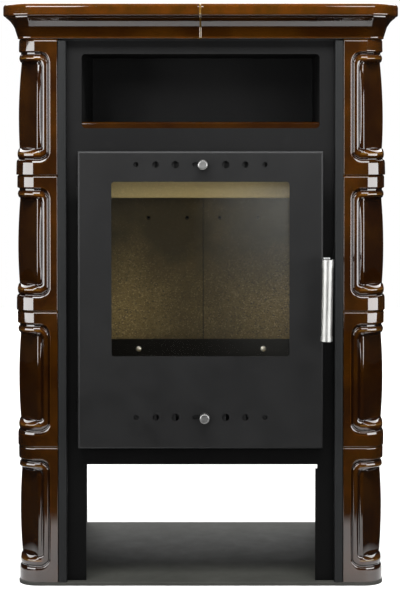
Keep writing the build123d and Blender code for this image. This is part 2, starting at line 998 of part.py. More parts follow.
def build_firebox():
    plate_low = door_bottom + face_plate_low
    plate_height = firebox_high - plate_low
    with BuildPart() as firebox:
        with BuildSketch(Plane.YZ.offset(-firebox_half)):
            with BuildLine():
                Polyline(*firebox_outline(0), close=True)
            make_face()
        extrude(amount=2 * firebox_half)
        with BuildSketch(Plane.YZ.offset(-firebox_inner)):
            with BuildLine():
                Polyline(*firebox_outline(firebox_wall), close=True)
            make_face()
        extrude(amount=2 * firebox_inner, mode=Mode.SUBTRACT)
        with BuildSketch(facing(plate_back)):
            with Locations((0, plate_low + plate_height / 2)):
                Rectangle(2 * firebox_half, plate_height)
            with Locations((0, (mouth_low + mouth_high) / 2)):
                Rectangle(2 * mouth_half, mouth_high - mouth_low, mode=Mode.SUBTRACT)
        extrude(amount=face_plate)
        # Ledges along both sides carry the hearth plate.
        with BuildSketch(facing(lining_back)):
            for sign in (-1, 1):
                with Locations((sign * (firebox_inner - ledge / 2), hearth_low - hearth_sheet / 2)):
                    Rectangle(ledge, hearth_sheet)
        extrude(amount=lining_back - lining_front)
        with BuildSketch(facing(firebox_back)):
            with Locations((0, spigot_z)):
                Circle(spigot_radius - spigot_wall)
        extrude(amount=firebox_wall, mode=Mode.SUBTRACT)
    save("firebox_body", firebox)

    with BuildPart() as spigot:
        with BuildSketch(facing(firebox_back)):
            with Locations((0, spigot_z)):
                Circle(spigot_radius)
                Circle(spigot_radius - spigot_wall, mode=Mode.SUBTRACT)
        extrude(amount=-spigot_length)
    save("flue_spigot", spigot)


# ---- Fire chamber ----------------------------------------------------------------------


def build_hearth():
    with BuildPart() as plate:
        with BuildSketch(Plane.XY.offset(hearth_low)):
            with Locations((0, (lining_front + lining_back) / 2)):
                Rectangle(2 * lining_half, lining_back - lining_front)
            with Locations((0, grate_middle)):
                Rectangle(
                    grate_width - 2 * grate_lap,
                    grate_length - 2 * grate_lap,
                    mode=Mode.SUBTRACT,
                )
        extrude(amount=hearth_sheet)
    save("hearth_plate", plate)

    with BuildPart() as grate:
        with BuildSketch(Plane.XY.offset(hearth_high)):
            with Locations((0, grate_middle)):
                Rectangle(grate_width, grate_length)
                with GridLocations(grate_pitch, 0, grate_slots, 1):
                    Rectangle(
                        grate_slot,
                        grate_length - 2 * grate_slot_end,
                        mode=Mode.SUBTRACT,
                    )
        extrude(amount=grate_thickness)
    save("grate", grate)

    # Four floor bricks frame the grate.
    well_half = grate_width / 2 + seat_gap
    well_front = grate_front - seat_gap
    well_back = grate_front + grate_length + seat_gap
    with BuildPart() as bricks:
        with BuildSketch(Plane.XY.offset(hearth_high)):
            for near, far in (
                (lining_front, well_front - seat_gap),
                (well_back + seat_gap, lining_back),
            ):
                with Locations((0, (near + far) / 2)):
                    Rectangle(2 * lining_half, far - near)
            for sign in (-1, 1):
                with Locations((sign * (well_half + lining_half) / 2, grate_middle)):
                    Rectangle(lining_half - well_half, well_back - well_front)
        extrude(amount=brick_floor)
    save("floor_bricks", bricks)

    pan_front = plate_back + pan_from_mouth
    with BuildPart() as pan:
        with BuildSketch(Plane.XY.offset(mouth_low)):
            with Locations((0, pan_front + pan_length / 2)):
                Rectangle(pan_width, pan_length)
        extrude(amount=pan_height)
        offset(amount=-pan_wall, openings=faces().sort_by(Axis.Z)[-1], kind=Kind.INTERSECTION)
        with BuildSketch(Plane.XY.offset(mouth_low + pan_height - pan_wall)):
            with Locations((0, pan_front - pan_lip / 2)):
                Rectangle(pan_lip_width, pan_lip)
        extrude(amount=pan_wall)
    save("ash_pan", pan)


def build_lining():
    height = baffle_low - chamber_floor
    with BuildPart() as side_brick:
        with BuildSketch(Plane.XY.offset(chamber_floor)):
            with Locations(
                (
                    (chamber_half + lining_half) / 2,
                    (lining_front + chamber_back - seat_gap) / 2,
                )
            ):
                Rectangle(brick_side, chamber_back - seat_gap - lining_front)
        extrude(amount=height)
    save_pair("brick_side", side_brick)

    back_in = seat_gap / 2
    with BuildPart() as back_brick:
        with BuildSketch(facing(lining_back)):
            with Locations(((back_in + lining_half) / 2, chamber_floor + height / 2)):
                Rectangle(lining_half - back_in, height)
            with Locations(
                (jet_inner, baffle_low - jet_below_baffle),
                (jet_outer, baffle_low - jet_below_baffle),
            ):
                RegularPolygon(jet_radius, jet_sides, mode=Mode.SUBTRACT)
        extrude(amount=brick_back)
    save_pair("brick_back", back_brick)

    baffle_start = plate_back + baffle_front
    with BuildPart() as baffle:
        with BuildSketch(Plane.XY.offset(baffle_low)):
            with Locations((0, (baffle_start + lining_back) / 2)):
                Rectangle(2 * lining_half, lining_back - baffle_start)
        extrude(amount=baffle_thickness)
    save("baffle", baffle)


def build_ember_guard():
    guard_half = chamber_half - guard_inset
    guard_front = plate_back + guard_back
    guard_top = chamber_floor + guard_height
    with BuildPart() as guard:
        with BuildSketch(Plane.YZ.offset(-guard_half)):
            with BuildLine():
                Polyline(
                    (guard_front, guard_top),
                    (guard_front, chamber_floor),
                    (guard_front + guard_foot, chamber_floor),
                )
                offset(amount=guard_sheet, side=Side.LEFT, kind=Kind.INTERSECTION)
            make_face()
        extrude(amount=2 * guard_half)
    save("ember_guard", guard)

    with BuildPart() as screws:
        with BuildSketch(facing(guard_front)):
            with Locations((0, guard_top - guard_screw_drop)):
                with GridLocations(2 * guard_screw_spread, 0, 2, 1):
                    RegularPolygon(guard_screw_radius, fixing_sides)
        extrude(amount=guard_screw_height)
    save("ember_guard_screws", screws)


# ---- Rear and side panels --------------------------------------------------------------


def build_back_panel():
    panel_low = shelf_low + rear_lift
    panel_high = frame_top - seat_gap
    low_vents = panel_low + vent_from_end
    high_vents = panel_high - vent_from_end
    with BuildPart() as back_panel:
        with BuildSketch(facing(rear)):
            with Locations((0, (panel_low + panel_high) / 2)):
                Rectangle(2 * frame_out, panel_high - panel_low)
            with Locations((0, spigot_z)):
                Circle(spigot_radius + flue_clear, mode=Mode.SUBTRACT)
            with Locations((0, (low_vents + high_vents) / 2)):
                with GridLocations(2 * vent_side, high_vents - low_vents, 2, 2):
                    with GridLocations(vent_pitch, 0, vents, 1):
                        Rectangle(vent_width, vent_length, mode=Mode.SUBTRACT)
        extrude(amount=rear_sheet)
    save("back_panel", back_panel)

    screw_x = frame_out - rear_flange / 2
    spacing = (panel_high - panel_low - 2 * screw_from_end) / (screw_rows - 1)
    with BuildPart() as screws:
        with BuildSketch(facing(rear)):
            with Locations((0, (panel_low + panel_high) / 2)):
                with GridLocations(2 * screw_x, spacing, 2, screw_rows):
                    RegularPolygon(screw_head_radius, fixing_sides)
        extrude(amount=-screw_head_height)
    save("back_screws", screws)


def build_side_mantles():
    near = tile_rear + seat_gap
    height = body_height - tile_joint
    outline = [
        (mantle_out - mantle_fold, near),
        (mantle_out, near),
        (mantle_out, rear),
        (frame_out + seat_gap, rear),
    ]
    mantle = bent_sheet(outline, [0, post_bend], mantle_sheet, Side.LEFT, floor, height)
    save_pair("side_mantle", mantle)


build_base_plate()
build_side_frames()
build_top_plate()
build_tiles()
build_crown()
build_front_panel()
build_compartment()
build_door_plate()
build_door_inside()
build_air_control("upper", air_high, air_rest_high)
build_air_control("lower", air_low, air_rest_low)
build_air_guides()
build_hinges()
build_latch()
build_keeper()
build_handle()
build_shelf()
build_firebox()
build_hearth()
build_lining()
build_ember_guard()
build_back_panel()
build_side_mantles()
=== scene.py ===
import json
import math

import bmesh
import bpy
import numpy as np
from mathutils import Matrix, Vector, noise


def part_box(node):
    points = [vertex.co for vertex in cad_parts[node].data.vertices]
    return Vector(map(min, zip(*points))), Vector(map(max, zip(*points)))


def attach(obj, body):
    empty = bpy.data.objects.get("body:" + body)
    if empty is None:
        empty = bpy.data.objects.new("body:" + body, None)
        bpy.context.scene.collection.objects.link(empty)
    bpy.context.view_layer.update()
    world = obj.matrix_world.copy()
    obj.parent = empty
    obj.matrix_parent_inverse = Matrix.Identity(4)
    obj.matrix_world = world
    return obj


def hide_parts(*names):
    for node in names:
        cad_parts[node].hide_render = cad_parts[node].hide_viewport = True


# A tiled wood stove: smooth glazed relief tiles and crown, painted steel, brushed handle and
# knobs, and a pane of glass before the fire bricks. Metres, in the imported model's frame.

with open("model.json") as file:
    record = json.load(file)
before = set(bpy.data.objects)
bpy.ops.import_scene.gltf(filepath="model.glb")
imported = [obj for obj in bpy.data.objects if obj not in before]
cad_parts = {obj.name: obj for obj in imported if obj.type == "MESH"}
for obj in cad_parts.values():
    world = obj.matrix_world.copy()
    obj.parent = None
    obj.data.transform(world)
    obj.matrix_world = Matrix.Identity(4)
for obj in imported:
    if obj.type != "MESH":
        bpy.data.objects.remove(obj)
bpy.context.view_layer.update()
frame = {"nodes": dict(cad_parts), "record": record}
NODES = frame["nodes"]
BODY_OF = {node: body for body, nodes in frame["record"]["behaviour"]["bodies"].items() for node in nodes}

MM = 0.001


# ---- Sizes, in millimetres -------------------------------------------------------------

TILE_ROWS = 4
TILE_WALL = 11
CORNER_RADIUS = 30
INSIDE_FLAT = 44  # across the corner behind the tile
RIM_RADIUS = 3.0  # round the tile's rear and head edges
RIM_FOOT = 0.8
RIM_FRONT = 0.7  # beside the steel post
MARGIN_FRONT = 9
MARGIN_REAR = 14
MARGIN_END = 17
FIELD_TURN = 18  # radius of the field's corners
# The relief in section, measured inwards from the field's edge
LIP_START = -0.2
WALL_SLOPE = 4
GROOVE_DEPTH = 3.2
BED_DEPTH = 3.8
# Where the frame runs upright, along its head and along its foot
LIP_SHIFT = (1.5, 0.3, 0.0)
LIP_RADIUS = (1.8, 2.2, 14.0)
LIP_WIDTH = (1.8, 2.0, 5.0)
BEAD_MIDDLE = (9.0, 11.4, 14.6)
BEAD_HALF = (4.1, 5.7, 7.4)
BEAD_TOP = (0.7, 0.9, 1.2)
BEAD_FULLNESS = (3.0, 2.1, 2.0)  # 2 is an ellipse, more is squarer
PILLOW_START = (15.2, 18.6, 22.6)
UPRIGHT_BLEND = (-4, 12)  # from head and foot to upright, round the corners
FOOT_BLEND = (0.35, 0.65)  # from foot to head, as shares of the tile's height
PILLOW_EDGE = 3.4
PILLOW_TOP = 1.3
PILLOW_FLAT = 32  # the pillow is flat across the corner, from this far before it
FLAT_ROUND = 0.1
# How far each course stands out at the corner, at its foot and its head
ROW_FLARE = {4: (2.2, -2.5), 3: (1.8, 0.6), 2: (0.1, 0.5), 1: (-2.5, -0.8)}
# Steps of the tile's mesh, and how far in from its edge the fine ones reach
FINE_STEP = 0.6
COARSE_STEP = 3.2
FRAME_ZONE = 36
PILLOW_ZONE = 47
CORNER_STEP = 1.2
HAND_WOBBLE = 0.12

CROWN_CORNER = 24
CROWN_RIM_INSET = 1  # behind the tiles' faces
CROWN_FOOT = 3.0
CROWN_QUIRK = 2.2  # the step between the cove and the slab
CROWN_SLAB = 18.5
CROWN_LOW_ROUND = 3.2
CROWN_TOP_ROUND = 5.5
CROWN_SWAY = 0.8  # share of the tiles' unevenness
SPLIT_ROUND = 1.2  # the glaze eases off at the split between the halves
SPLIT_DEPTH = 0.9
# Heights up the cove and its overhang there in degrees, where it runs straight and at the corner
COVE_LEAN = ((0, 8), (14.4, 13), (15.0, 33.5), (22.6, 41), (23.2, 52), (27.3, 55))
COVE_CORNER_LEAN = ((0, 17), (14.4, 18), (15.0, 33.5), (22.6, 36), (23.2, 48), (27.3, 50))

DOOR_SHEET = 3
GLASS_LAP = 9
WINDOW_ROUND = 4
AIR_HOLE_RADII = (5.5, 4.75, 3.75)
AIR_FIRST = 37
AIR_PITCH = 28.9
SLOT_LENGTH = 23.6
SLOT_HEIGHT = 6.6
KNUCKLE_LENGTH = 18
BRACKET_LENGTH = 16.3
HINGE_ROOM = 2
# The baffle's nose hangs below the CAD board's box
NOSE_DEPTH = 20
NOSE_DROP = 8.8
NOSE_ROUND = 4
NOSE_ROOM = 0.5  # to the side bricks

KNOB_HEAD = 12
KNOB_STEM_RADIUS = 2.6
KNOB_NECK_RADIUS = 3.1
KNOB_BACK_ROUND = 0.8
KNOB_FRONT_ROUND = 2.4
SCREW_EDGE = 0.4  # below the dome of the guard's screws
SCREW_EASE = 0.2
AXIS_RADIUS = 0.01  # closes a turned profile on its axis


# ---- Meshes ----------------------------------------------------------------------------


def add_piece(name, vertices, faces, node, slot, material, smooth=True):
    """A mesh in millimetres that stands for a CAD node and rides on that node's body."""
    mesh = bpy.data.meshes.new(name)
    mesh.from_pydata([(x * MM, y * MM, z * MM) for x, y, z in vertices], [], faces)
    mesh.validate()
    piece = bpy.data.objects.new(name, mesh)
    bpy.context.scene.collection.objects.link(piece)
    fix_normals(mesh)
    if smooth:
        mesh.shade_smooth()
    place(piece, node, slot, material)
    return piece


def fix_normals(mesh):
    """Turn every face of a closed mesh outwards."""
    bm = bmesh.new()
    bm.from_mesh(mesh)
    bmesh.ops.recalc_face_normals(bm, faces=bm.faces)
    bm.to_mesh(mesh)
    bm.free()


def place(piece, node, slot, material):
    piece.data.materials.clear()
    piece.data.materials.append(material)
    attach(piece, BODY_OF[node])
    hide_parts(node)


def join_shells(shells):
    """Several pairs of vertices and faces as one pair."""
    vertices, faces = [], []
    for shell_vertices, shell_faces in shells:
        start = len(vertices)
        vertices += shell_vertices
        faces += [tuple(start + k for k in face) for face in shell_faces]
    return vertices, faces


def round_edges(piece, width, segments=3, angle=35):
    """Ease a piece's sharp edges by a real width in millimetres."""
    bevel = piece.modifiers.new("eased edges", "BEVEL")
    bevel.width = width * MM
    bevel.segments = segments
    bevel.limit_method = "ANGLE"
    bevel.angle_limit = math.radians(angle)
    bevel.harden_normals = True
    return piece


def softened(node, width, slot, material, segments=2, angle=35):
    """A CAD node's own form with its edges eased, as folded and ground steel has them."""
    mesh = NODES[node].data.copy()
    mesh.name = f"{node}_eased"
    bm = bmesh.new()
    bm.from_mesh(mesh)
    bmesh.ops.remove_doubles(bm, verts=bm.verts, dist=0.002 * MM)
    bmesh.ops.dissolve_limit(bm, angle_limit=math.radians(0.5), verts=bm.verts, edges=bm.edges)
    bm.to_mesh(mesh)
    bm.free()
    for name in ("custom_normal", "sharp_face", "sharp_edge"):
        layer = mesh.attributes.get(name)
        if layer:
            mesh.attributes.remove(layer)
    mesh.shade_smooth()
    piece = bpy.data.objects.new(f"{node}_eased", mesh)
    bpy.context.scene.collection.objects.link(piece)
    place(piece, node, slot, material)
    return round_edges(piece, width, segments, angle)


# ---- Material helpers ------------------------------------------------------------------


class Look:
    """A node material with a Principled shader and short calls for its textures."""

    def __init__(self, name, **sockets):
        self.material = bpy.data.materials.new(name)
        self.material.use_nodes = True
        self.tree = self.material.node_tree
        self.shader = self.tree.nodes["Principled BSDF"]
        self.coordinates = self.tree.nodes.new("ShaderNodeTexCoord").outputs["Object"]
        for socket, value in sockets.items():
            self.shader.inputs[socket.replace("_", " ")].default_value = value

    def link(self, output, socket):
        self.tree.links.new(output, self.shader.inputs[socket])

    def node(self, kind, inputs=None, **settings):
        made = self.tree.nodes.new(kind)
        for key, value in settings.items():
            setattr(made, key, value)
        for key, value in (inputs or {}).items():
            if isinstance(value, bpy.types.NodeSocket):
                self.tree.links.new(value, made.inputs[key])
            else:
                made.inputs[key].default_value = value
        return made

    def stretched(self, x, y, z):
        """The coordinates, with each axis scaled."""
        made = self.node("ShaderNodeMapping", {"Vector": self.coordinates, "Scale": (x, y, z)})
        return made.outputs["Vector"]

    def noise(self, scale, detail=3, roughness=0.5, vector=None, distortion=0):
        inputs = {
            "Vector": vector or self.coordinates,
            "Scale": scale,
            "Detail": detail,
            "Roughness": roughness,
            "Distortion": distortion,
        }
        return self.node("ShaderNodeTexNoise", inputs).outputs["Fac"]

    def cells(self, scale, feature="F1", output="Distance", vector=None):
        made = self.node(
            "ShaderNodeTexVoronoi", {"Vector": vector or self.coordinates, "Scale": scale}, feature=feature
        )
        return made.outputs[output]

    def fit(self, value, low, high, out_low=0.0, out_high=1.0):
        """Map a range of values to another, clamped."""
        inputs = {"Value": value, "From Min": low, "From Max": high, "To Min": out_low, "To Max": out_high}
        return self.node("ShaderNodeMapRange", inputs).outputs["Result"]

    def blend(self, factor, first, second):
        made = self.node("ShaderNodeMix", {"Factor": factor}, data_type="RGBA")
        for socket, value in ((made.inputs[6], first), (made.inputs[7], second)):
            if isinstance(value, bpy.types.NodeSocket):
                self.tree.links.new(value, socket)
            else:
                socket.default_value = (*value, 1)
        return made.outputs[2]

    def axes(self):
        """The coordinates as X, Y and Z."""
        return self.node("ShaderNodeSeparateXYZ", {"Vector": self.coordinates}).outputs

    def calculate(self, first, second, operation="ADD"):
        made = self.node("ShaderNodeMath", operation=operation)
        for socket, value in zip(made.inputs, (first, second)):
            if isinstance(value, bpy.types.NodeSocket):
                self.tree.links.new(value, socket)
            else:
                socket.default_value = value
        return made.outputs[0]

    def attribute(self, name):
        return self.node("ShaderNodeAttribute", attribute_name=name).outputs["Fac"]

    def bump(self, height, distance, strength=1.0, under=None):
        """A bump of a real height in metres. under is a normal that it lies on."""
        inputs = {"Height": height, "Distance": distance, "Strength": strength}
        made = self.node("ShaderNodeBump", inputs)
        if under:
            self.tree.links.new(under, made.inputs["Normal"])
        return made.outputs["Normal"]


# ---- Materials -------------------------------------------------------------------------


def glaze_look():
    """Brown glaze: amber where it runs thin over edges, near black where it pools."""
    look = Look("brown glaze", IOR=1.65)
    clouds = look.noise(14, detail=4, roughness=0.6)
    thin = look.attribute("thin")
    thin_uneven = look.calculate(thin, look.fit(clouds, 0.35, 0.65, -0.14, 0.14))
    dark = look.blend(look.fit(clouds, 0.4, 0.62), (0.0125, 0.0036, 0.0004), (0.0215, 0.0072, 0.0006))
    amber = look.blend(look.fit(look.noise(60), 0.4, 0.6), (0.036, 0.0125, 0.0006), (0.052, 0.0150, 0.0009))
    body = look.blend(look.fit(thin_uneven, 0.1, 1.0), dark, amber)
    # On sharp edges the glaze breaks to gold.
    body = look.blend(look.fit(thin, 1.0, 1.5), body, (0.19, 0.108, 0.020))
    pooled = look.blend(look.attribute("pool"), body, (0.0060, 0.0018, 0.0008))
    specks = look.fit(look.cells(900), 0.0, 0.05, 1.0, 0.0)
    speck_share = look.calculate(specks, look.fit(look.noise(35), 0.55, 0.7), "MULTIPLY")
    look.link(look.blend(speck_share, pooled, (0.012, 0.005, 0.003)), "Base Color")
    look.link(look.fit(look.noise(90), 0.3, 0.7, 0.035, 0.065), "Roughness")
    crazing = look.fit(look.cells(150, feature="DISTANCE_TO_EDGE"), 0.0, 0.012, -1.0, 0.0)
    crazed = look.bump(crazing, 0.00001, 0.1)
    look.link(look.bump(look.noise(18, detail=1), 0.0012, 0.10, under=crazed), "Normal")
    return look.material


def paint_look(name, colour, light, shine=0.15, roughness=(0.44, 0.58), painted_shade=None):
    """Matt stove paint on sheet steel: a fine sprayed grain, dust, faint handling marks and a painted
    highlight along marked folds.

    painted_shade is a painted shade colour for the panel beside and below the door, where the door and the
    posts shade it."""
    look = Look(name, IOR=1.45, Specular_IOR_Level=shine)
    patches = look.noise(5, detail=5, roughness=0.55)
    wear_and_highlight = look.fit(look.noise(42, detail=6, roughness=0.7), 0.60, 0.76, 0.0, 0.5)
    body = look.blend(look.fit(patches, 0.35, 0.65), colour, light)
    body = look.blend(wear_and_highlight, body, tuple(1.5 * c for c in light))
    # A painted highlight where a piece marks its fold, four times the lighter tone.
    body = look.blend(look.attribute("fold"), body, tuple(4 * c for c in light))
    # Painted shade: below the height of the door's head the colour turns to the darker painted shade colour,
    # standing in for the shadow of the door and the posts.
    if painted_shade:
        level = look.axes()["Z"]
        body = look.blend(look.fit(level, 0.565, 0.60, 1.0, 0.0), body, painted_shade)
    look.link(body, "Base Color")
    look.link(look.fit(look.noise(24, detail=5, roughness=0.65), 0.3, 0.7, *roughness), "Roughness")
    spray = look.noise(1100, detail=2, roughness=0.6)
    look.link(look.bump(spray, 0.00006, 0.8), "Normal")
    return look.material


def brushed_look(name, colour, scale=(1, 1, 1), roughness=(0.16, 0.34), depth=0.00002):
    """Brushed bare metal. scale stretches the brush lines along the axis with the low number."""
    look = Look(name, Metallic=1.0)
    lines = look.noise(420, detail=3, roughness=0.6, vector=look.stretched(*scale))
    smears = look.noise(30, detail=5, roughness=0.6)
    shade = tuple(0.78 * c for c in colour)
    look.link(look.blend(look.fit(smears, 0.35, 0.65), colour, shade), "Base Color")
    rough = look.fit(lines, 0.3, 0.7, *roughness)
    marks = look.fit(look.noise(75, detail=6, roughness=0.7), 0.58, 0.72, 0.0, 0.12)
    look.link(look.calculate(rough, marks), "Roughness")
    look.link(look.bump(lines, depth, 0.5), "Normal")
    return look.material


BRICK_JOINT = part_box("brick_back_left")[1].x


def brick_look(name, most_soot_and_shade):
    """Pressed vermiculite: tan board with gold and grey flakes, and soot with painted shade up to a share of
    its colour.
    """
    look = Look(name, Roughness=0.75, Specular_IOR_Level=0.35)
    flake_vector = look.stretched(1, 1, 1.35)
    flake = look.cells(520, output="Color", vector=flake_vector)
    split = look.node("ShaderNodeSeparateColor", {"Color": flake})
    dark = look.blend(split.outputs["Red"], (0.36, 0.275, 0.115), (0.52, 0.415, 0.195))
    gold = look.fit(split.outputs["Green"], 0.86, 0.95)
    body = look.blend(gold, dark, (0.78, 0.62, 0.32))
    grey = look.fit(split.outputs["Blue"], 0.84, 0.93)
    body = look.blend(grey, body, (0.20, 0.17, 0.11))
    # Soot and painted shade: darkest in the middle and up high, lightest at the low outer corners and towards
    # the right, where the light through the window falls.
    place = look.axes()
    low = look.fit(place["Z"], 0.38, 0.50, 1.0, 0.0)
    aside = look.fit(look.calculate(place["X"], 0.0, "ABSOLUTE"), 0.03, 0.13, 0.25, 1.0)
    right = look.fit(place["X"], 0.02, 0.13, 0.75, 1.15)
    clean_and_lit = look.calculate(look.calculate(low, aside, "MULTIPLY"), right, "MULTIPLY")
    soot_and_shade = look.fit(look.noise(7, detail=5, roughness=0.6), 0.42, 0.68, 0.0, 0.2)
    soot_and_shade = look.calculate(soot_and_shade, look.fit(clean_and_lit, 0.0, 1.0, most_soot_and_shade, 0.0))
    body = look.blend(soot_and_shade, body, (0.070, 0.060, 0.037))
    if most_soot_and_shade:
        # The dark joint between the two back bricks
        beside = look.calculate(look.calculate(place["X"], BRICK_JOINT, "SUBTRACT"), 0.0, "ABSOLUTE")
        body = look.blend(look.fit(beside, 0.0004, 0.0014, 0.7, 0.0), body, (0.02, 0.018, 0.014))
    else:
        # Without soot or painted shade it is the baffle: a paler, more even board, made paler as painted
        # light for the front light on its nose.
        body = look.blend(0.75, body, (0.75, 0.63, 0.34))
    look.link(body, "Base Color")
    look.link(look.fit(split.outputs["Green"], 0.8, 1.0, 0.78, 0.42), "Roughness")
    pits = look.bump(look.cells(520, vector=flake_vector), 0.0003, 0.4)
    look.link(look.bump(look.noise(900), 0.00025, 0.6, under=pits), "Normal")
    return look.material


def casting_look():
    """Sand-cast iron: dark, dull and grained, with a trace of rust."""
    look = Look("cast iron", Metallic=0.55)
    rust = look.fit(look.noise(20, detail=6, roughness=0.7), 0.56, 0.74, 0.0, 0.6)
    look.link(look.blend(rust, (0.055, 0.054, 0.056), (0.12, 0.055, 0.028)), "Base Color")
    look.link(look.fit(look.noise(150), 0.3, 0.7, 0.55, 0.8), "Roughness")
    sand = look.bump(look.noise(650, detail=4, roughness=0.7), 0.0004, 0.6)
    look.link(sand, "Normal")
    return look.material


def rope_look():
    """Braided glass fibre, greyed by smoke."""
    look = Look("glass fibre", Sheen_Weight=0.3, Roughness=0.95)
    wave = {"Vector": look.coordinates, "Scale": 260, "Distortion": 1.5}
    strands = look.node("ShaderNodeTexWave", wave, bands_direction="DIAGONAL").outputs["Fac"]
    grey = look.blend(strands, (0.055, 0.053, 0.05), (0.20, 0.195, 0.18))
    soot_and_shade = look.fit(look.noise(25, detail=4), 0.4, 0.66, 0.0, 0.6)
    look.link(look.blend(soot_and_shade, grey, (0.03, 0.028, 0.026)), "Base Color")
    look.link(look.bump(strands, 0.0006, 0.9), "Normal")
    return look.material


def pane_look():
    """Ceramic glass: lets light in, mirrors the room faintly, and has a little haze."""
    look = Look("ceramic glass", Base_Color=(0.95, 0.93, 0.88, 1), IOR=1.52, Transmission_Weight=1.0)
    haze = look.noise(6, detail=4, roughness=0.6)
    look.link(look.fit(haze, 0.4, 0.7, 0.0, 0.05), "Roughness")
    tree = look.tree
    output = tree.nodes["Material Output"]
    clear = look.node("ShaderNodeBsdfTransparent", {"Color": (0.92, 0.90, 0.84, 1)})
    path = look.node("ShaderNodeLightPath")
    either = look.calculate(path.outputs["Is Shadow Ray"], path.outputs["Is Diffuse Ray"], "MAXIMUM")
    mixed = look.node("ShaderNodeMixShader", {0: either, 1: look.shader.outputs[0], 2: clear.outputs[0]})
    # A film of ash dust, thickest at the upper right.
    dust = look.node("ShaderNodeBsdfDiffuse", {"Color": (0.80, 0.82, 0.80, 1)})
    place = look.axes()
    right = look.fit(place["X"], -0.01, 0.15)
    height = look.fit(place["Z"], 0.34, 0.60, 0.15, 1.0)
    upper_right = look.calculate(right, height, "MULTIPLY")
    film = look.calculate(upper_right, look.fit(haze, 0.3, 0.7, 0.02, 0.036), "MULTIPLY")
    dusty = look.node("ShaderNodeMixShader", {0: film, 1: mixed.outputs[0], 2: dust.outputs[0]})
    tree.links.new(dusty.outputs[0], output.inputs["Surface"])
    return look.material


GLAZE = glaze_look()
BLACK = paint_look("black stove paint", (0.0038, 0.0038, 0.0039), (0.0056, 0.0057, 0.0058), shine=0.16)
# The front panel's paint carries a painted shade beside and below the door.
PANEL_WITH_PAINTED_SHADE = paint_look(
    "front panel paint with painted shade",
    (0.0062, 0.0062, 0.0063),
    (0.0085, 0.0085, 0.0086),
    shine=0.03,
    painted_shade=(0.0028, 0.0028, 0.0028),
)
POST = paint_look("post paint", (0.0070, 0.0074, 0.0076), (0.0094, 0.0099, 0.0102), shine=0.12)
# The base plate's paint is several times lighter than the stove's black paint: a painted reflection of the
# pale room that the plate mirrors.
BASE_WITH_PAINTED_REFLECTION = paint_look("base plate paint with painted reflection", (0.030, 0.0305, 0.0270), (0.040, 0.0405, 0.0360), roughness=(0.5, 0.64))
HEAT = paint_look(
    "heat paint", (0.0016, 0.0016, 0.0016), (0.0028, 0.0027, 0.0026), shine=0.03, roughness=(0.6, 0.75)
)
STAINLESS = brushed_look("brushed stainless", (0.30, 0.30, 0.29), scale=(1, 1, 0.04), roughness=(0.38, 0.50))
KNOB = brushed_look("knob steel", (0.24, 0.24, 0.235), scale=(0.06, 1, 1), roughness=(0.30, 0.42))
ZINC = brushed_look("zinc plate", (0.45, 0.455, 0.46), scale=(0.3, 1, 1), roughness=(0.3, 0.5))
BRICK = brick_look("vermiculite", 0.9)
BAFFLE_WITH_PAINTED_LIGHT = brick_look("baffle vermiculite with painted light", 0.0)
IRON = casting_look()
ROPE = rope_look()
PANE = pane_look()

SLOT_LOOKS = {
    "glaze": GLAZE,
    "black_steel": BLACK,
    "heat_paint": HEAT,
    "stainless": STAINLESS,
    "zinc_steel": ZINC,
    "cast_iron": IRON,
    "vermiculite": BRICK,
    "glass_fibre": ROPE,
    "glass": PANE,
}

# What shows in the recess beside the door takes the front panel's dull black with its painted shade; the zinc
# latch pieces too, darkened as painted shade there.
# The baffle has its own paler board, lightened as painted light for the front light on its nose.
NODE_LOOKS = {
    "hinge_brackets": PANEL_WITH_PAINTED_SHADE,
    "door_knuckles": PANEL_WITH_PAINTED_SHADE,
    "latch_keeper": PANEL_WITH_PAINTED_SHADE,
    "latch_cam": PANEL_WITH_PAINTED_SHADE,
    "baffle": BAFFLE_WITH_PAINTED_LIGHT,
}


def dress_nodes():
    """Give every CAD node the finish of its material slot, or its own where it has one."""
    for row in frame["record"]["subparts"]:
        node = NODES[row["node"]]
        node.data.materials.clear()
        node.data.materials.append(NODE_LOOKS.get(row["node"], SLOT_LOOKS[row["material_slot"]]))


# ---- Relief tiles ----------------------------------------------------------------------


def rounded_course(start_x, out_x, front_y, rear_y, radius):
    """The plan line of a corner: from start_x along the front, round the corner, to the rear.

    Returns its length and a function from distances along it to points and outward normals."""
    straight = out_x - radius - start_x
    bend = radius * math.pi / 2
    length = straight + bend + rear_y - (front_y + radius)

    def at(distance):
        turn = np.clip((distance - straight) / radius, 0, math.pi / 2)
        normal_x, normal_y = np.sin(turn), -np.cos(turn)
        x = out_x - radius + radius * normal_x - np.clip(straight - distance, 0, None)
        y = front_y + radius + radius * normal_y + np.clip(distance - straight - bend, 0, None)
        return x, y, normal_x, normal_y

    return length, at


def sample_line(length, zone, corner_end=0):
    """Distances across a tile: close together over its moulded frame and corner, wider between."""
    rim = RIM_RADIUS * (1 - np.cos(np.linspace(0, math.pi / 2, 6)))
    fine = np.arange(RIM_RADIUS + FINE_STEP, zone, FINE_STEP)
    side = np.concatenate([rim, fine])
    corner = np.arange(zone, corner_end, CORNER_STEP)
    start = max(zone, corner_end)
    middle = np.linspace(start, length - zone, max(2, round((length - zone - start) / COARSE_STEP)))
    return np.concatenate([side, corner, middle, (length - side)[::-1]])


def smooth_step(value, low, high):
    t = np.clip((value - low) / (high - low), 0, 1)
    return t * t * (3 - 2 * t)


def flat_depth(flat, p, q, inward_p, inward_q):
    """Depth of a flat across the corner, whose faces lie at p = 0 and q = 0."""
    reach = (flat - p - q) / (inward_p + inward_q)
    return (reach + np.sqrt(reach**2 + FLAT_ROUND**2)) / 2


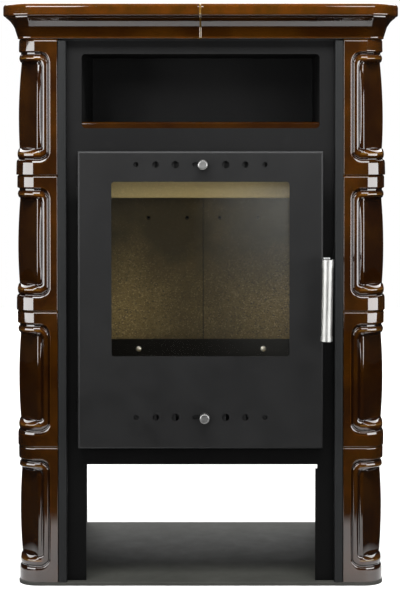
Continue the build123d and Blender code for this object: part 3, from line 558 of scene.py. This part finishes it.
def tile_relief(u, v, length, height, across_corner):
    """Depth below the tile's outer face, and where the glaze is thin or pooled."""
    half_u = (length - MARGIN_FRONT - MARGIN_REAR) / 2
    half_v = height / 2 - MARGIN_END
    across = np.abs(u - (MARGIN_FRONT + half_u)) - (half_u - FIELD_TURN)
    along = np.abs(v - height / 2) - (half_v - FIELD_TURN)
    outside = np.hypot(np.clip(across, 0, None), np.clip(along, 0, None))
    inset = FIELD_TURN - outside - np.minimum(np.maximum(across, along), 0)
    upright = smooth_step(across - along, *UPRIGHT_BLEND)
    foot_end, head_start = (share * height for share in FOOT_BLEND)
    foot = 1 - smooth_step(v, foot_end, head_start)

    def run(sizes):
        """One size of the section, blended round the frame."""
        at_side, at_head, at_foot = sizes
        return upright * at_side + (1 - upright) * (at_head + (at_foot - at_head) * foot)

    lip_radius, bead_middle, bead_half = run(LIP_RADIUS), run(BEAD_MIDDLE), run(BEAD_HALF)
    pillow_start, fullness = run(PILLOW_START), run(BEAD_FULLNESS)
    into_groove = inset - LIP_START - run(LIP_SHIFT)
    rounding = np.minimum(np.clip(into_groove, 0, run(LIP_WIDTH)), lip_radius)
    wall = WALL_SLOPE * np.clip(into_groove - run(LIP_WIDTH), 0, None)
    groove = lip_radius - np.sqrt(lip_radius**2 - rounding**2) + wall
    floor = np.where(inset < bead_middle, np.minimum(groove, GROOVE_DEPTH), BED_DEPTH)
    bead_out = np.clip(np.abs(inset - bead_middle) / bead_half, 0, 1)
    bead = (BED_DEPTH - run(BEAD_TOP)) * (1 - bead_out**fullness) ** (1 / fullness)
    depth = np.minimum(floor, BED_DEPTH - bead)

    pillow_in = np.clip((inset - pillow_start) / PILLOW_EDGE, 0, 1)
    shoulder = np.sqrt(1 - (1 - pillow_in) ** 2)
    half_pillow = half_v - (PILLOW_START[1] + PILLOW_START[2]) / 2
    swell = 1 - np.clip(np.abs(v - height / 2) / half_pillow, 0, 1) ** 2
    rise = (BED_DEPTH - PILLOW_TOP) * swell * shoulder
    depth = np.where(pillow_in > 0, BED_DEPTH - rise, depth)
    # The bead's inner side rounds down into the flat across the corner.
    fall = np.clip((inset - bead_middle) / (pillow_start + PILLOW_EDGE - bead_middle), 0, 1)
    depth = depth + across_corner * smooth_step(fall, 0, 1)

    rim_u = np.clip(RIM_RADIUS - (length - u), 0, None)
    rim_v = np.clip(RIM_RADIUS - (height - v), 0, None)
    rim = RIM_RADIUS - np.sqrt(np.clip(RIM_RADIUS**2 - rim_u**2 - rim_v**2, 0, None))
    rim = rim + RIM_FOOT - np.sqrt(RIM_FOOT**2 - np.clip(RIM_FOOT - v, 0, None) ** 2)
    front_rim = RIM_FRONT - np.sqrt(RIM_FRONT**2 - np.clip(RIM_FRONT - u, 0, None) ** 2)
    depth = np.maximum(depth, 0) + rim + front_rim

    crest = np.exp(-(((inset - bead_middle) / (0.6 * bead_half)) ** 2)) * (1.15 - 0.85 * upright)
    lip_edge = 0.9 * np.exp(-(((into_groove - 0.3) / 0.9) ** 2))
    edges = 1.5 * np.clip(rim / RIM_RADIUS * 1.6, 0, 1)
    margin = 0.34 * smooth_step(-inset, -1.2, 1.0)
    thin = np.maximum.reduce([crest, lip_edge, edges, margin])
    pool_groove = np.exp(-(((inset - bead_middle + bead_half + 0.8) / 1.2) ** 2))
    pool_valley = np.exp(-(((inset - pillow_start + 0.8) / 1.6) ** 2))
    pool = np.clip(np.maximum(pool_groove, pool_valley), 0, 1) * 0.9
    return depth, thin, pool


def wobble(x, y, z, seed):
    """The unevenness of pressed and fired clay, in millimetres."""
    place = Vector((x * 0.02 + seed * 7.3, y * 0.02, z * 0.02))
    return HAND_WOBBLE * noise.noise(place)


def store(mesh, name, values):
    layer = mesh.attributes.new(name, "FLOAT", "POINT")
    layer.data.foreach_set("value", np.asarray(values, np.float32))


def build_tile(row, side):
    node = f"tile_{side}_{row}"
    sign = 1 if side == "right" else -1
    low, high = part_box(f"tile_right_{row}")
    start_x, out_x = low.x / MM, high.x / MM
    front_y, rear_y = low.y / MM, high.y / MM
    height = (high.z - low.z) / MM
    length, at = rounded_course(start_x, out_x, front_y, rear_y, CORNER_RADIUS)
    corner_end = PILLOW_FLAT + out_x - start_x
    across_line = sample_line(length, FRAME_ZONE, corner_end)
    u, v = np.meshgrid(across_line, sample_line(height, PILLOW_ZONE), indexing="ij")
    x, y, normal_x, normal_y = at(u)
    corner = (out_x - x, y - front_y, normal_x, -normal_y)
    across_corner = flat_depth(PILLOW_FLAT, *corner)
    depth, thin, pool = tile_relief(u, v, length, height, across_corner)
    seed = row + (10 if side == "left" else 0)
    shift = np.vectorize(lambda a, b, c: wobble(a, b, c, seed))(x, y, v)
    depth = np.maximum(depth + HAND_WOBBLE + shift, 0)
    wall = np.maximum(TILE_WALL, flat_depth(INSIDE_FLAT, *corner))  # thickness, to the hollow back
    foot, head = ROW_FLARE[row]
    flare = (foot + (head - foot) * v / height) * smooth_step(x, start_x + 15, out_x - 4)
    x = x + flare
    across, along = u.shape

    # The outer sheet, and a ring behind its edge at the tile's full thickness.
    points = np.stack([x - normal_x * depth, y - normal_y * depth, v], -1).reshape(-1, 3)
    back = np.stack([x - normal_x * wall, y - normal_y * wall, v], -1)
    grid = np.arange(across * along).reshape(across, along)
    ring = [(i, 0) for i in range(across)]
    ring += [(across - 1, j) for j in range(1, along)]
    ring += [(i, along - 1) for i in range(across - 2, -1, -1)]
    ring += [(0, j) for j in range(along - 2, 0, -1)]
    behind = {cell: len(points) + k for k, cell in enumerate(ring)}
    points = np.concatenate([points, [back[cell] for cell in ring]])
    points[:, 0] *= sign
    points[:, 2] += low.z / MM

    faces = [
        (grid[i, j], grid[i + 1, j], grid[i + 1, j + 1], grid[i, j + 1])
        for i in range(across - 1)
        for j in range(along - 1)
    ]
    for first, second in zip(ring, ring[1:] + ring[:1]):
        faces.append((grid[first], grid[second], behind[second], behind[first]))
    # The back is plain: one strip for each step along the course, and a whole column at its ends.
    last = along - 1
    for i in range(1, across - 2):
        faces.append((behind[i, 0], behind[i + 1, 0], behind[i + 1, last], behind[i, last]))
    faces.append([behind[0, j] for j in range(along)] + [behind[1, last], behind[1, 0]])
    faces.append(
        [behind[across - 1, j] for j in range(along)] + [behind[across - 2, last], behind[across - 2, 0]]
    )
    faces = [tuple(int(k) for k in face) for face in faces]
    piece = add_piece(f"{node}_glazed", points.tolist(), faces, node, "glaze", GLAZE)
    rest = len(ring)
    store(piece.data, "thin", np.concatenate([thin.ravel(), np.full(rest, 0.3)]))
    store(piece.data, "pool", np.concatenate([pool.ravel(), np.zeros(rest)]))
    return piece


# ---- Crown -----------------------------------------------------------------------------


def crown_profile(overhang, height, corner):
    """The crown's outline as (reach outwards, height above its foot, glaze thinness).

    corner is 1 where it turns the corner and 0 where it runs straight."""
    profile = [(-1.2, 0.0, 0.2), (-0.3, 0.5, 0.9), (0.0, 1.4, 1.0), (0.0, CROWN_FOOT, 0.4)]
    cove_rise = height - CROWN_SLAB - CROWN_FOOT - CROWN_QUIRK
    climb = np.linspace(0, cove_rise, 28)
    straight_lean, corner_lean = (np.interp(climb, *zip(*leans)) for leans in (COVE_LEAN, COVE_CORNER_LEAN))
    lean = np.radians(straight_lean + corner * (corner_lean - straight_lean))
    reaches = np.cumsum(np.tan(lean)) * (climb[1] - climb[0])
    for rise, reach in zip(climb[1:], reaches[1:]):
        profile.append((reach, CROWN_FOOT + rise, 0.05))
    cove_reach = reaches[-1]
    quirk = height - CROWN_SLAB - CROWN_QUIRK
    profile += [(cove_reach + 0.5, quirk + 0.1, 0.6), (cove_reach + 0.8, quirk + 1.0, 0.0)]
    under = height - CROWN_SLAB
    low_round = CROWN_LOW_ROUND
    profile += [(cove_reach + 1.0, under, 0.0), (overhang - 3.5, under, 0.0)]
    for angle in np.linspace(-math.pi / 2, 0, 8)[1:]:
        reach = overhang - low_round + low_round * math.cos(angle)
        profile.append((reach, under + low_round + low_round * math.sin(angle), 0.7))
    round_top = CROWN_TOP_ROUND
    # Points close to the roundings keep the face between them flat in its shading.
    profile += [(overhang, under + 3.4, 0.75), (overhang, height - round_top - 0.2, 0.8)]
    for angle in np.linspace(0, math.pi / 2, 12):
        reach = overhang - round_top + round_top * math.cos(angle)
        rise = height - round_top + round_top * math.sin(angle)
        profile.append((reach, rise, 0.8 + 0.2 * math.sin(2 * angle)))
    profile.append((overhang - round_top - 12, height, 0.25))
    return profile


def build_crown(side):
    node = f"crown_{side}"
    sign = 1 if side == "right" else -1
    low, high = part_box("crown_right")
    tile_low, tile_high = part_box("tile_right_1")
    body_out = tile_high.x / MM - CROWN_RIM_INSET
    body_front = tile_low.y / MM - CROWN_RIM_INSET
    overhang = high.x / MM - body_out
    height = (high.z - low.z) / MM
    split, rear = low.x / MM, high.y / MM
    length, at = rounded_course(split, body_out, body_front, rear, CROWN_CORNER)
    straight = body_out - CROWN_CORNER - split
    bend = CROWN_CORNER * math.pi / 2
    stations = np.concatenate(
        [
            [0, 0.5, SPLIT_ROUND],
            np.linspace(6, straight, 24),
            straight + bend * np.linspace(0, 1, 26)[1:],
            np.linspace(straight + bend, length, 22)[1:],
        ]
    )
    x, y, normal_x, normal_y = at(stations)
    # 0 where the crown runs straight, and 1 from a few degrees into the turn
    corners = np.clip(-12 * normal_x * normal_y, 0, 1)
    profiles = [crown_profile(overhang, height, corner) for corner in corners]
    seed = 31 if side == "left" else 47
    count = len(profiles[0])
    points = []
    thin = []
    for k in range(len(stations)):
        ease = max(0.0, 1.0 - stations[k] / SPLIT_ROUND) ** 2 * SPLIT_DEPTH
        for reach, rise, thinness in profiles[k]:
            sway = wobble(x[k], y[k], rise * 3, seed) * CROWN_SWAY
            out = min(reach + sway - HAND_WOBBLE, overhang) - ease
            top = min(rise - (ease if rise > height - CROWN_TOP_ROUND else 0), height)
            points.append((sign * (x[k] + normal_x[k] * out), y[k] + normal_y[k] * out, low.z / MM + top))
            thin.append(max(thinness, 1.5 * (ease > 0.2)))
    faces = [
        (a * count + b, (a + 1) * count + b, (a + 1) * count + b + 1, a * count + b + 1)
        for a in range(len(stations) - 1)
        for b in range(count - 1)
    ]
    # The top, the underside and the two ends meet at the inner rear corner.
    ends = len(stations) - 1
    back_inner = len(points)
    points += [(sign * split, rear, low.z / MM + height), (sign * split, rear, low.z / MM)]
    thin += [0.2, 0.2]
    faces.append([a * count + count - 1 for a in range(ends + 1)] + [back_inner])
    faces.append([a * count for a in range(ends + 1)] + [back_inner + 1])
    faces.append(list(range(count)) + [back_inner, back_inner + 1])
    faces.append([ends * count + b for b in range(count)] + [back_inner, back_inner + 1])
    piece = add_piece(f"{node}_glazed", points, faces, node, "glaze", GLAZE)
    piece.data.set_sharp_from_angle(angle=math.radians(50))
    store(piece.data, "thin", thin)
    store(piece.data, "pool", np.zeros(len(points)))
    return piece


# ---- Door plate ------------------------------------------------------------------------


def circle_points(x, z, radius, steps=40):
    turns = [2 * math.pi * k / steps for k in range(steps)]
    return [(x + radius * math.cos(t), z + radius * math.sin(t)) for t in turns]


def rounded_rectangle(x, z, half_width, half_height, radius, steps=8):
    points = []
    for quarter, (sx, sz) in enumerate(((1, 1), (-1, 1), (-1, -1), (1, -1))):
        for k in range(steps + 1):
            turn = math.pi / 2 * (quarter + k / steps)
            centre_x = x + sx * (half_width - radius)
            centre_z = z + sz * (half_height - radius)
            points.append((centre_x + radius * math.cos(turn), centre_z + radius * math.sin(turn)))
    return points


def cut_sheet(name, loops, thickness):
    """A flat sheet in x and z with holes: the first loop is its outline. Its face is at y = 0."""
    curve = bpy.data.curves.new(name, "CURVE")
    curve.dimensions = "2D"
    curve.fill_mode = "BOTH"
    curve.extrude = thickness / 2
    for points in loops:
        spline = curve.splines.new("POLY")
        spline.points.add(len(points) - 1)
        for target, (x, z) in zip(spline.points, points):
            target.co = (x, z, 0, 1)
        spline.use_cyclic_u = True
    holder = bpy.data.objects.new(name, curve)
    bpy.context.scene.collection.objects.link(holder)
    shape = bpy.data.meshes.new_from_object(holder)
    vertices = [(v.co.x, thickness / 2 - v.co.z, v.co.y) for v in shape.vertices]
    faces = [tuple(face.vertices) for face in shape.polygons]
    bpy.data.objects.remove(holder)
    bpy.data.curves.remove(curve)
    bpy.data.meshes.remove(shape)
    return vertices, faces


def block(x, y, z):
    """A plain box between pairs of bounds."""
    vertices = [(a, b, c) for a in x for b in y for c in z]
    faces = [(0, 1, 3, 2), (4, 6, 7, 5), (0, 4, 5, 1), (2, 3, 7, 6), (0, 2, 6, 4), (1, 5, 7, 3)]
    return vertices, faces


def folded_rim(half_width, low, high, front, bend, sheet):
    """The rounded fold round the door's face, mitred at the corners."""
    section = [(bend - bend * math.cos(a), bend - bend * math.sin(a)) for a in np.linspace(0, math.pi / 2, 8)]
    section = [(inset, depth) for inset, depth in section] + [(bend, sheet)]
    vertices = []
    for sx, z_edge, sz in ((-1, low, 1), (1, low, 1), (1, high, -1), (-1, high, -1)):
        for inset, depth in section:
            vertices.append((sx * (half_width - inset), front + depth, z_edge + sz * inset))
    count = len(section)
    faces = []
    for corner in range(4):
        for k in range(count):
            a, b = corner * count + k, corner * count + (k + 1) % count
            c, d = ((corner + 1) % 4) * count + (k + 1) % count, ((corner + 1) % 4) * count + k
            faces.append((a, b, c, d))
    return vertices, faces


def build_door_plate():
    low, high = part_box("door_plate")
    half_width = (high.x - low.x) / 2 / MM
    front, back = low.y / MM, high.y / MM
    foot, head = low.z / MM, high.z / MM
    skin = front + DOOR_SHEET
    glass_low, glass_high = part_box("glass_pane")
    window_half = (glass_high.x - glass_low.x) / 2 / MM - GLASS_LAP
    window_low, window_high = glass_low.z / MM + GLASS_LAP, glass_high.z / MM - GLASS_LAP
    inset = DOOR_SHEET
    outline = [
        (-half_width + inset, foot + inset),
        (half_width - inset, foot + inset),
        (half_width - inset, head - inset),
        (-half_width + inset, head - inset),
    ]
    middle = (window_low + window_high) / 2
    loops = [outline]
    loops.append(rounded_rectangle(0, middle, window_half, (window_high - window_low) / 2, WINDOW_ROUND))
    for name in ("upper", "lower"):
        knob_low, knob_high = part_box(f"{name}_air_knob")
        level = (knob_low.z + knob_high.z) / 2 / MM
        loops.append(rounded_rectangle(0, level, SLOT_LENGTH / 2, SLOT_HEIGHT / 2, SLOT_HEIGHT / 2 - 0.01))
        for index, radius in enumerate(AIR_HOLE_RADII):
            for sign in (-1, 1):
                loops.append(circle_points(sign * (AIR_FIRST + index * AIR_PITCH), level, radius))
    sheet_vertices, sheet_faces = cut_sheet("door face", loops, DOOR_SHEET)
    shells = [([(x, y + front, z) for x, y, z in sheet_vertices], sheet_faces)]
    shells.append(folded_rim(half_width, foot, head, front, DOOR_SHEET, DOOR_SHEET))
    # The flange behind the fold, with room in its left side for the hinges.
    knuckle_low, knuckle_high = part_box("door_knuckles")
    low_hinge = knuckle_low.z / MM
    high_hinge = knuckle_high.z / MM - KNUCKLE_LENGTH
    spans = [foot]
    for hinge in (low_hinge, high_hinge):
        spans += [hinge - BRACKET_LENGTH - HINGE_ROOM, hinge + KNUCKLE_LENGTH + HINGE_ROOM]
    spans.append(head)
    inner = half_width - DOOR_SHEET
    for start, end in zip(spans[::2], spans[1::2]):
        shells.append(block((-half_width, -inner), (skin, back), (start, end)))
    shells.append(block((inner, half_width), (skin, back), (foot, head)))
    shells.append(block((-inner, inner), (skin, back), (foot, foot + DOOR_SHEET)))
    shells.append(block((-inner, inner), (skin, back), (head - DOOR_SHEET, head)))
    vertices, faces = join_shells(shells)
    piece = add_piece("door_plate_folded", vertices, faces, "door_plate", "black_steel", BLACK)
    piece.data.set_sharp_from_angle(angle=math.radians(30))
    # A painted highlight: the fold's upper and left edges are made lighter where the lamps catch the rounded
    # fold.
    edge = DOOR_SHEET * 0.9 * MM
    wear_and_highlight = [
        float(v.co.y < (skin - 0.1) * MM and (v.co.x < -half_width * MM + edge or v.co.z > head * MM - edge))
        for v in piece.data.vertices
    ]
    store(piece.data, "fold", wear_and_highlight)
    return piece


# ---- Baffle ----------------------------------------------------------------------------


def build_baffle():
    """The baffle board with a deeper rounded nose, which hangs between the side bricks."""
    low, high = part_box("baffle")
    inner = (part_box("brick_side_right")[0].x / MM) - NOSE_ROOM
    half = high.x / MM
    front, back, foot, head = low.y / MM, high.y / MM, low.z / MM, high.z / MM
    nose_end = front + NOSE_DEPTH
    shells = [block((-inner, inner), (front, nose_end), (foot - NOSE_DROP, head))]
    shells.append(block((-half, half), (nose_end, back), (foot, head)))
    for side in (-1, 1):
        shells.append(block(sorted((side * inner, side * half)), (front, nose_end), (foot, head)))
    vertices, faces = join_shells(shells)
    piece = add_piece("baffle_nosed", vertices, faces, "baffle", "vermiculite", BAFFLE_WITH_PAINTED_LIGHT)
    return round_edges(piece, NOSE_ROUND, 5)


# ---- Lathe-turned pieces ---------------------------------------------------------------


def turned(name, profile, origin, axis, node, slot, material, steps=64):
    """A body of revolution: (distance along the axis, radius) pairs about a line."""
    axis = Vector(axis).normalized()
    side = axis.orthogonal().normalized()
    other = axis.cross(side)
    centre = Vector(origin)
    points = []
    for along, radius in profile:
        for k in range(steps):
            angle = 2 * math.pi * k / steps
            rim = side * math.cos(angle) + other * math.sin(angle)
            points.append(tuple(centre + axis * along + rim * radius))
    faces = [
        (r * steps + k, r * steps + (k + 1) % steps, (r + 1) * steps + (k + 1) % steps, (r + 1) * steps + k)
        for r in range(len(profile) - 1)
        for k in range(steps)
    ]
    if profile[0][1] > 0:
        faces.append(list(range(steps)))
    if profile[-1][1] > 0:
        faces.append([(len(profile) - 1) * steps + k for k in range(steps)])
    piece = add_piece(name, points, faces, node, slot, material)
    piece.data.set_sharp_from_angle(angle=math.radians(40))
    return piece


def arc_profile(centre_along, centre_radius, radius, start, end, count=6):
    """Points of a rounded edge for a turned profile, angles in degrees from the axis."""
    return [
        (
            centre_along + radius * math.cos(math.radians(a)),
            centre_radius + radius * math.sin(math.radians(a)),
        )
        for a in np.linspace(start, end, count)
    ]


def build_knob(name):
    node = f"{name}_air_knob"
    low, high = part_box(node)
    centre = ((low.x + high.x) / 2 / MM, high.y / MM, (low.z + high.z) / 2 / MM)
    length = (high.y - low.y) / MM
    radius = (high.x - low.x) / 2 / MM
    back = length - KNOB_HEAD
    profile = [(0, AXIS_RADIUS), (0, KNOB_STEM_RADIUS)]
    profile += [(back - 0.1, KNOB_STEM_RADIUS), (back, KNOB_NECK_RADIUS)]
    profile += arc_profile(back + KNOB_BACK_ROUND, radius - KNOB_BACK_ROUND, KNOB_BACK_ROUND, 180, 90, 4)
    profile += arc_profile(length - KNOB_FRONT_ROUND, radius - KNOB_FRONT_ROUND, KNOB_FRONT_ROUND, 90, 0, 8)
    profile += [(length - 0.25, radius * 0.45), (length - 0.05, AXIS_RADIUS)]
    return turned(f"{name}_air_knob_turned", profile, centre, (0, -1, 0), node, "stainless", KNOB)


def build_guard_screws():
    low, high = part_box("ember_guard_screws")
    radius = (high.z - low.z) / 2 / MM
    depth = (high.y - low.y) / MM
    spread = (high.x - low.x) / 2 / MM - radius
    pieces = []
    for sign in (-1, 1):
        centre = (sign * spread, high.y / MM, (low.z + high.z) / 2 / MM)
        profile = [(0, AXIS_RADIUS), (0, radius - SCREW_EASE), (SCREW_EDGE, radius)]
        for angle in np.radians(np.linspace(12, 88, 9)):
            profile.append((SCREW_EDGE + (depth - SCREW_EDGE) * math.sin(angle), radius * math.cos(angle)))
        name = f"ember_guard_screw_{'left' if sign < 0 else 'right'}"
        pieces.append(
            turned(name, profile, centre, (0, -1, 0), "ember_guard_screws", "stainless", STAINLESS, 40)
        )
    return pieces


# ---- Room, light and camera, in metres -------------------------------------------------

FLOOR_NEAR = -3.2
FLOOR_FAR = 3.6
FLOOR_HALF = 3.4
FLOOR_PALE = (0.86, 0.86, 0.86)
FLOOR_HIDDEN = (0.012, 0.012, 0.012)
WORLD_STRENGTH = 0.035

SIDE_LAMP = (1.325, -1.13)
SIDE_LAMP_LEVELS = {"left": (0.20, 0.88), "right": (0.20, 0.82)}
SIDE_TARGET = (0.654, -0.389)
STRIP_PLACE = (0, -0.86, 1.62)
STRIP_TARGET = (0, -0.15, 0.75)
STRIP_SIZE = (1.7, 0.42)
FRONT_MIRRORED = {"left": 14, "right": 9}

CAMERA_PLACE = (0.037, -2.9, 0.703)
CAMERA_DOWN = 1.15  # degrees
# The photograph is 589 pixels high. Its lens has this focal length in those pixels.
IMAGE_HEIGHT = 589
FOCAL_PIXELS = 1834
CAMERA_SHIFT = (-0.0435, -0.2496)
SENSOR = 36  # millimetres


def build_floor():
    mesh = bpy.data.meshes.new("floor")
    near, far, half = FLOOR_NEAR, FLOOR_FAR, FLOOR_HALF
    corners = [(-half, near, 0), (half, near, 0), (half, far, 0), (-half, far, 0)]
    mesh.from_pydata(corners, [], [(0, 1, 2, 3)])
    floor = bpy.data.objects.new("floor", mesh)
    bpy.context.scene.collection.objects.link(floor)
    look = Look("pale floor", Roughness=0.6)
    # Mirror rays see the floor pale only close before the stove. Light that bounces off the
    # floor is dimmed everywhere before it.
    place = look.axes()
    aside = look.fit(look.calculate(place["X"], 0.0, "ABSOLUTE"), 0.34, 0.44)
    beyond = look.fit(place["Y"], -0.68, -0.60, 1.0, 0.0)
    outside = look.calculate(aside, beyond, "MAXIMUM")
    mirrored = look.node("ShaderNodeLightPath").outputs["Is Glossy Ray"]
    hidden = look.calculate(outside, mirrored, "MULTIPLY")
    bounced = look.node("ShaderNodeLightPath").outputs["Is Diffuse Ray"]
    before = look.fit(place["Y"], -0.2, 0.1, 0.75, 0.0)
    dimmed = look.calculate(hidden, look.calculate(bounced, before, "MULTIPLY"), "MAXIMUM")
    look.link(look.blend(dimmed, FLOOR_PALE, FLOOR_HIDDEN), "Base Color")
    look.link(look.fit(dimmed, 0.0, 1.0, 0.5, 0.0), "Specular IOR Level")
    look.link(look.fit(look.noise(3, detail=3), 0.3, 0.7, 0.55, 0.7), "Roughness")
    mesh.materials.append(look.material)


def build_world():
    """White to the camera, and a dim and slightly blue light to everything else."""
    world = bpy.data.worlds.new("studio")
    bpy.context.scene.world = world
    world.use_nodes = True
    tree = world.node_tree
    tree.nodes.clear()
    output = tree.nodes.new("ShaderNodeOutputWorld")
    seen = tree.nodes.new("ShaderNodeBackground")
    seen.inputs["Color"].default_value = (1, 1, 1, 1)
    lighting = tree.nodes.new("ShaderNodeBackground")
    lighting.inputs["Strength"].default_value = WORLD_STRENGTH
    lighting.inputs["Color"].default_value = (0.92, 0.96, 1, 1)
    path = tree.nodes.new("ShaderNodeLightPath")
    mix = tree.nodes.new("ShaderNodeMixShader")
    tree.links.new(path.outputs["Is Camera Ray"], mix.inputs[0])
    tree.links.new(lighting.outputs[0], mix.inputs[1])
    tree.links.new(seen.outputs[0], mix.inputs[2])
    tree.links.new(mix.outputs[0], output.inputs["Surface"])


def add_softbox(name, place, target, width, height, radiance, mirrored=True, lighting=True):
    """A rectangular lamp with a face of a given brightness.

    One that isn't mirrored lights the stove without showing in glaze or glass. One that isn't
    lighting shows there as a mirror image and lights nothing else."""
    light = bpy.data.lights.new(name, "AREA")
    light.shape = "RECTANGLE"
    light.size, light.size_y = width, height
    light.energy = radiance * math.pi * width * height
    lamp = bpy.data.objects.new(name, light)
    bpy.context.scene.collection.objects.link(lamp)
    lamp.location = place
    lamp.rotation_euler = (Vector(target) - Vector(place)).to_track_quat("-Z", "Y").to_euler()
    lamp.visible_glossy = mirrored
    lamp.visible_transmission = mirrored
    lamp.visible_diffuse = lighting
    return lamp


def build_lights():
    """Broad lamps at the sides and a strip close above, soft fill and a wash on the floor behind."""
    for sign, side in ((-1, "left"), (1, "right")):
        low, high = SIDE_LAMP_LEVELS[side]
        middle = (low + high) / 2
        name = f"{side} softbox"
        place = (sign * SIDE_LAMP[0], SIDE_LAMP[1], middle)
        target = (sign * SIDE_TARGET[0], SIDE_TARGET[1], middle)
        add_softbox(name, place, target, 1.58, high - low, 9.5, lighting=False)
        fill_place = (sign * SIDE_LAMP[0], SIDE_LAMP[1], 1.0)
        add_softbox(f"{name} fill", fill_place, (0, -0.2, 0.6), 1.2, 0.7, 1.1, mirrored=False)
    add_softbox("top strip", STRIP_PLACE, STRIP_TARGET, *STRIP_SIZE, 27, mirrored=False)
    add_softbox("strip mirrored", STRIP_PLACE, STRIP_TARGET, *STRIP_SIZE, 16, lighting=False)
    for sign, side in ((-1, "left"), (1, "right")):
        place = (sign * 0.66, -1.95, 1.32)
        target = (sign * 0.3, -0.2, 0.4)
        add_softbox(f"front mirrored {side}", place, target, 0.7, 0.6, FRONT_MIRRORED[side], lighting=False)
    add_softbox("front fill", (0.35, -2.3, 0.72), (0, -0.2, 0.5), 1.2, 0.5, 9, mirrored=False)
    add_softbox("floor wash", (0, 2.4, 2.6), (0, 2.0, 0), 4.5, 3.6, 5.2)


def build_camera():
    camera_data = bpy.data.cameras.new("camera")
    camera_data.sensor_width = SENSOR
    camera_data.lens = FOCAL_PIXELS / IMAGE_HEIGHT * SENSOR
    camera_data.shift_x, camera_data.shift_y = CAMERA_SHIFT
    camera_data.clip_end = 60
    camera = bpy.data.objects.new("camera", camera_data)
    bpy.context.scene.collection.objects.link(camera)
    camera.location = CAMERA_PLACE
    camera.rotation_euler = (math.radians(90 - CAMERA_DOWN), 0, 0)
    bpy.context.scene.camera = camera


# ---- Assembly --------------------------------------------------------------------------

dress_nodes()
for row_number in range(1, TILE_ROWS + 1):
    for side_name in ("left", "right"):
        build_tile(row_number, side_name)
for side_name in ("left", "right"):
    build_crown(side_name)
for knob_name in ("upper", "lower"):
    build_knob(knob_name)
build_guard_screws()
softened("base_plate", 0.8, "black_steel", BASE_WITH_PAINTED_REFLECTION)
for side_name in ("left", "right"):
    softened(f"side_frame_{side_name}", 0.5, "black_steel", POST, angle=50)
softened("front_panel", 0.5, "black_steel", PANEL_WITH_PAINTED_SHADE)
build_door_plate()
for brick_node in ("brick_side_left", "brick_side_right", "brick_back_left", "brick_back_right"):
    softened(brick_node, 1.5, "vermiculite", BRICK, segments=3)
build_baffle()

build_floor()
build_world()
build_lights()
build_camera()
scene = bpy.context.scene
scene.view_settings.view_transform = "Standard"
scene.view_settings.look = "None"
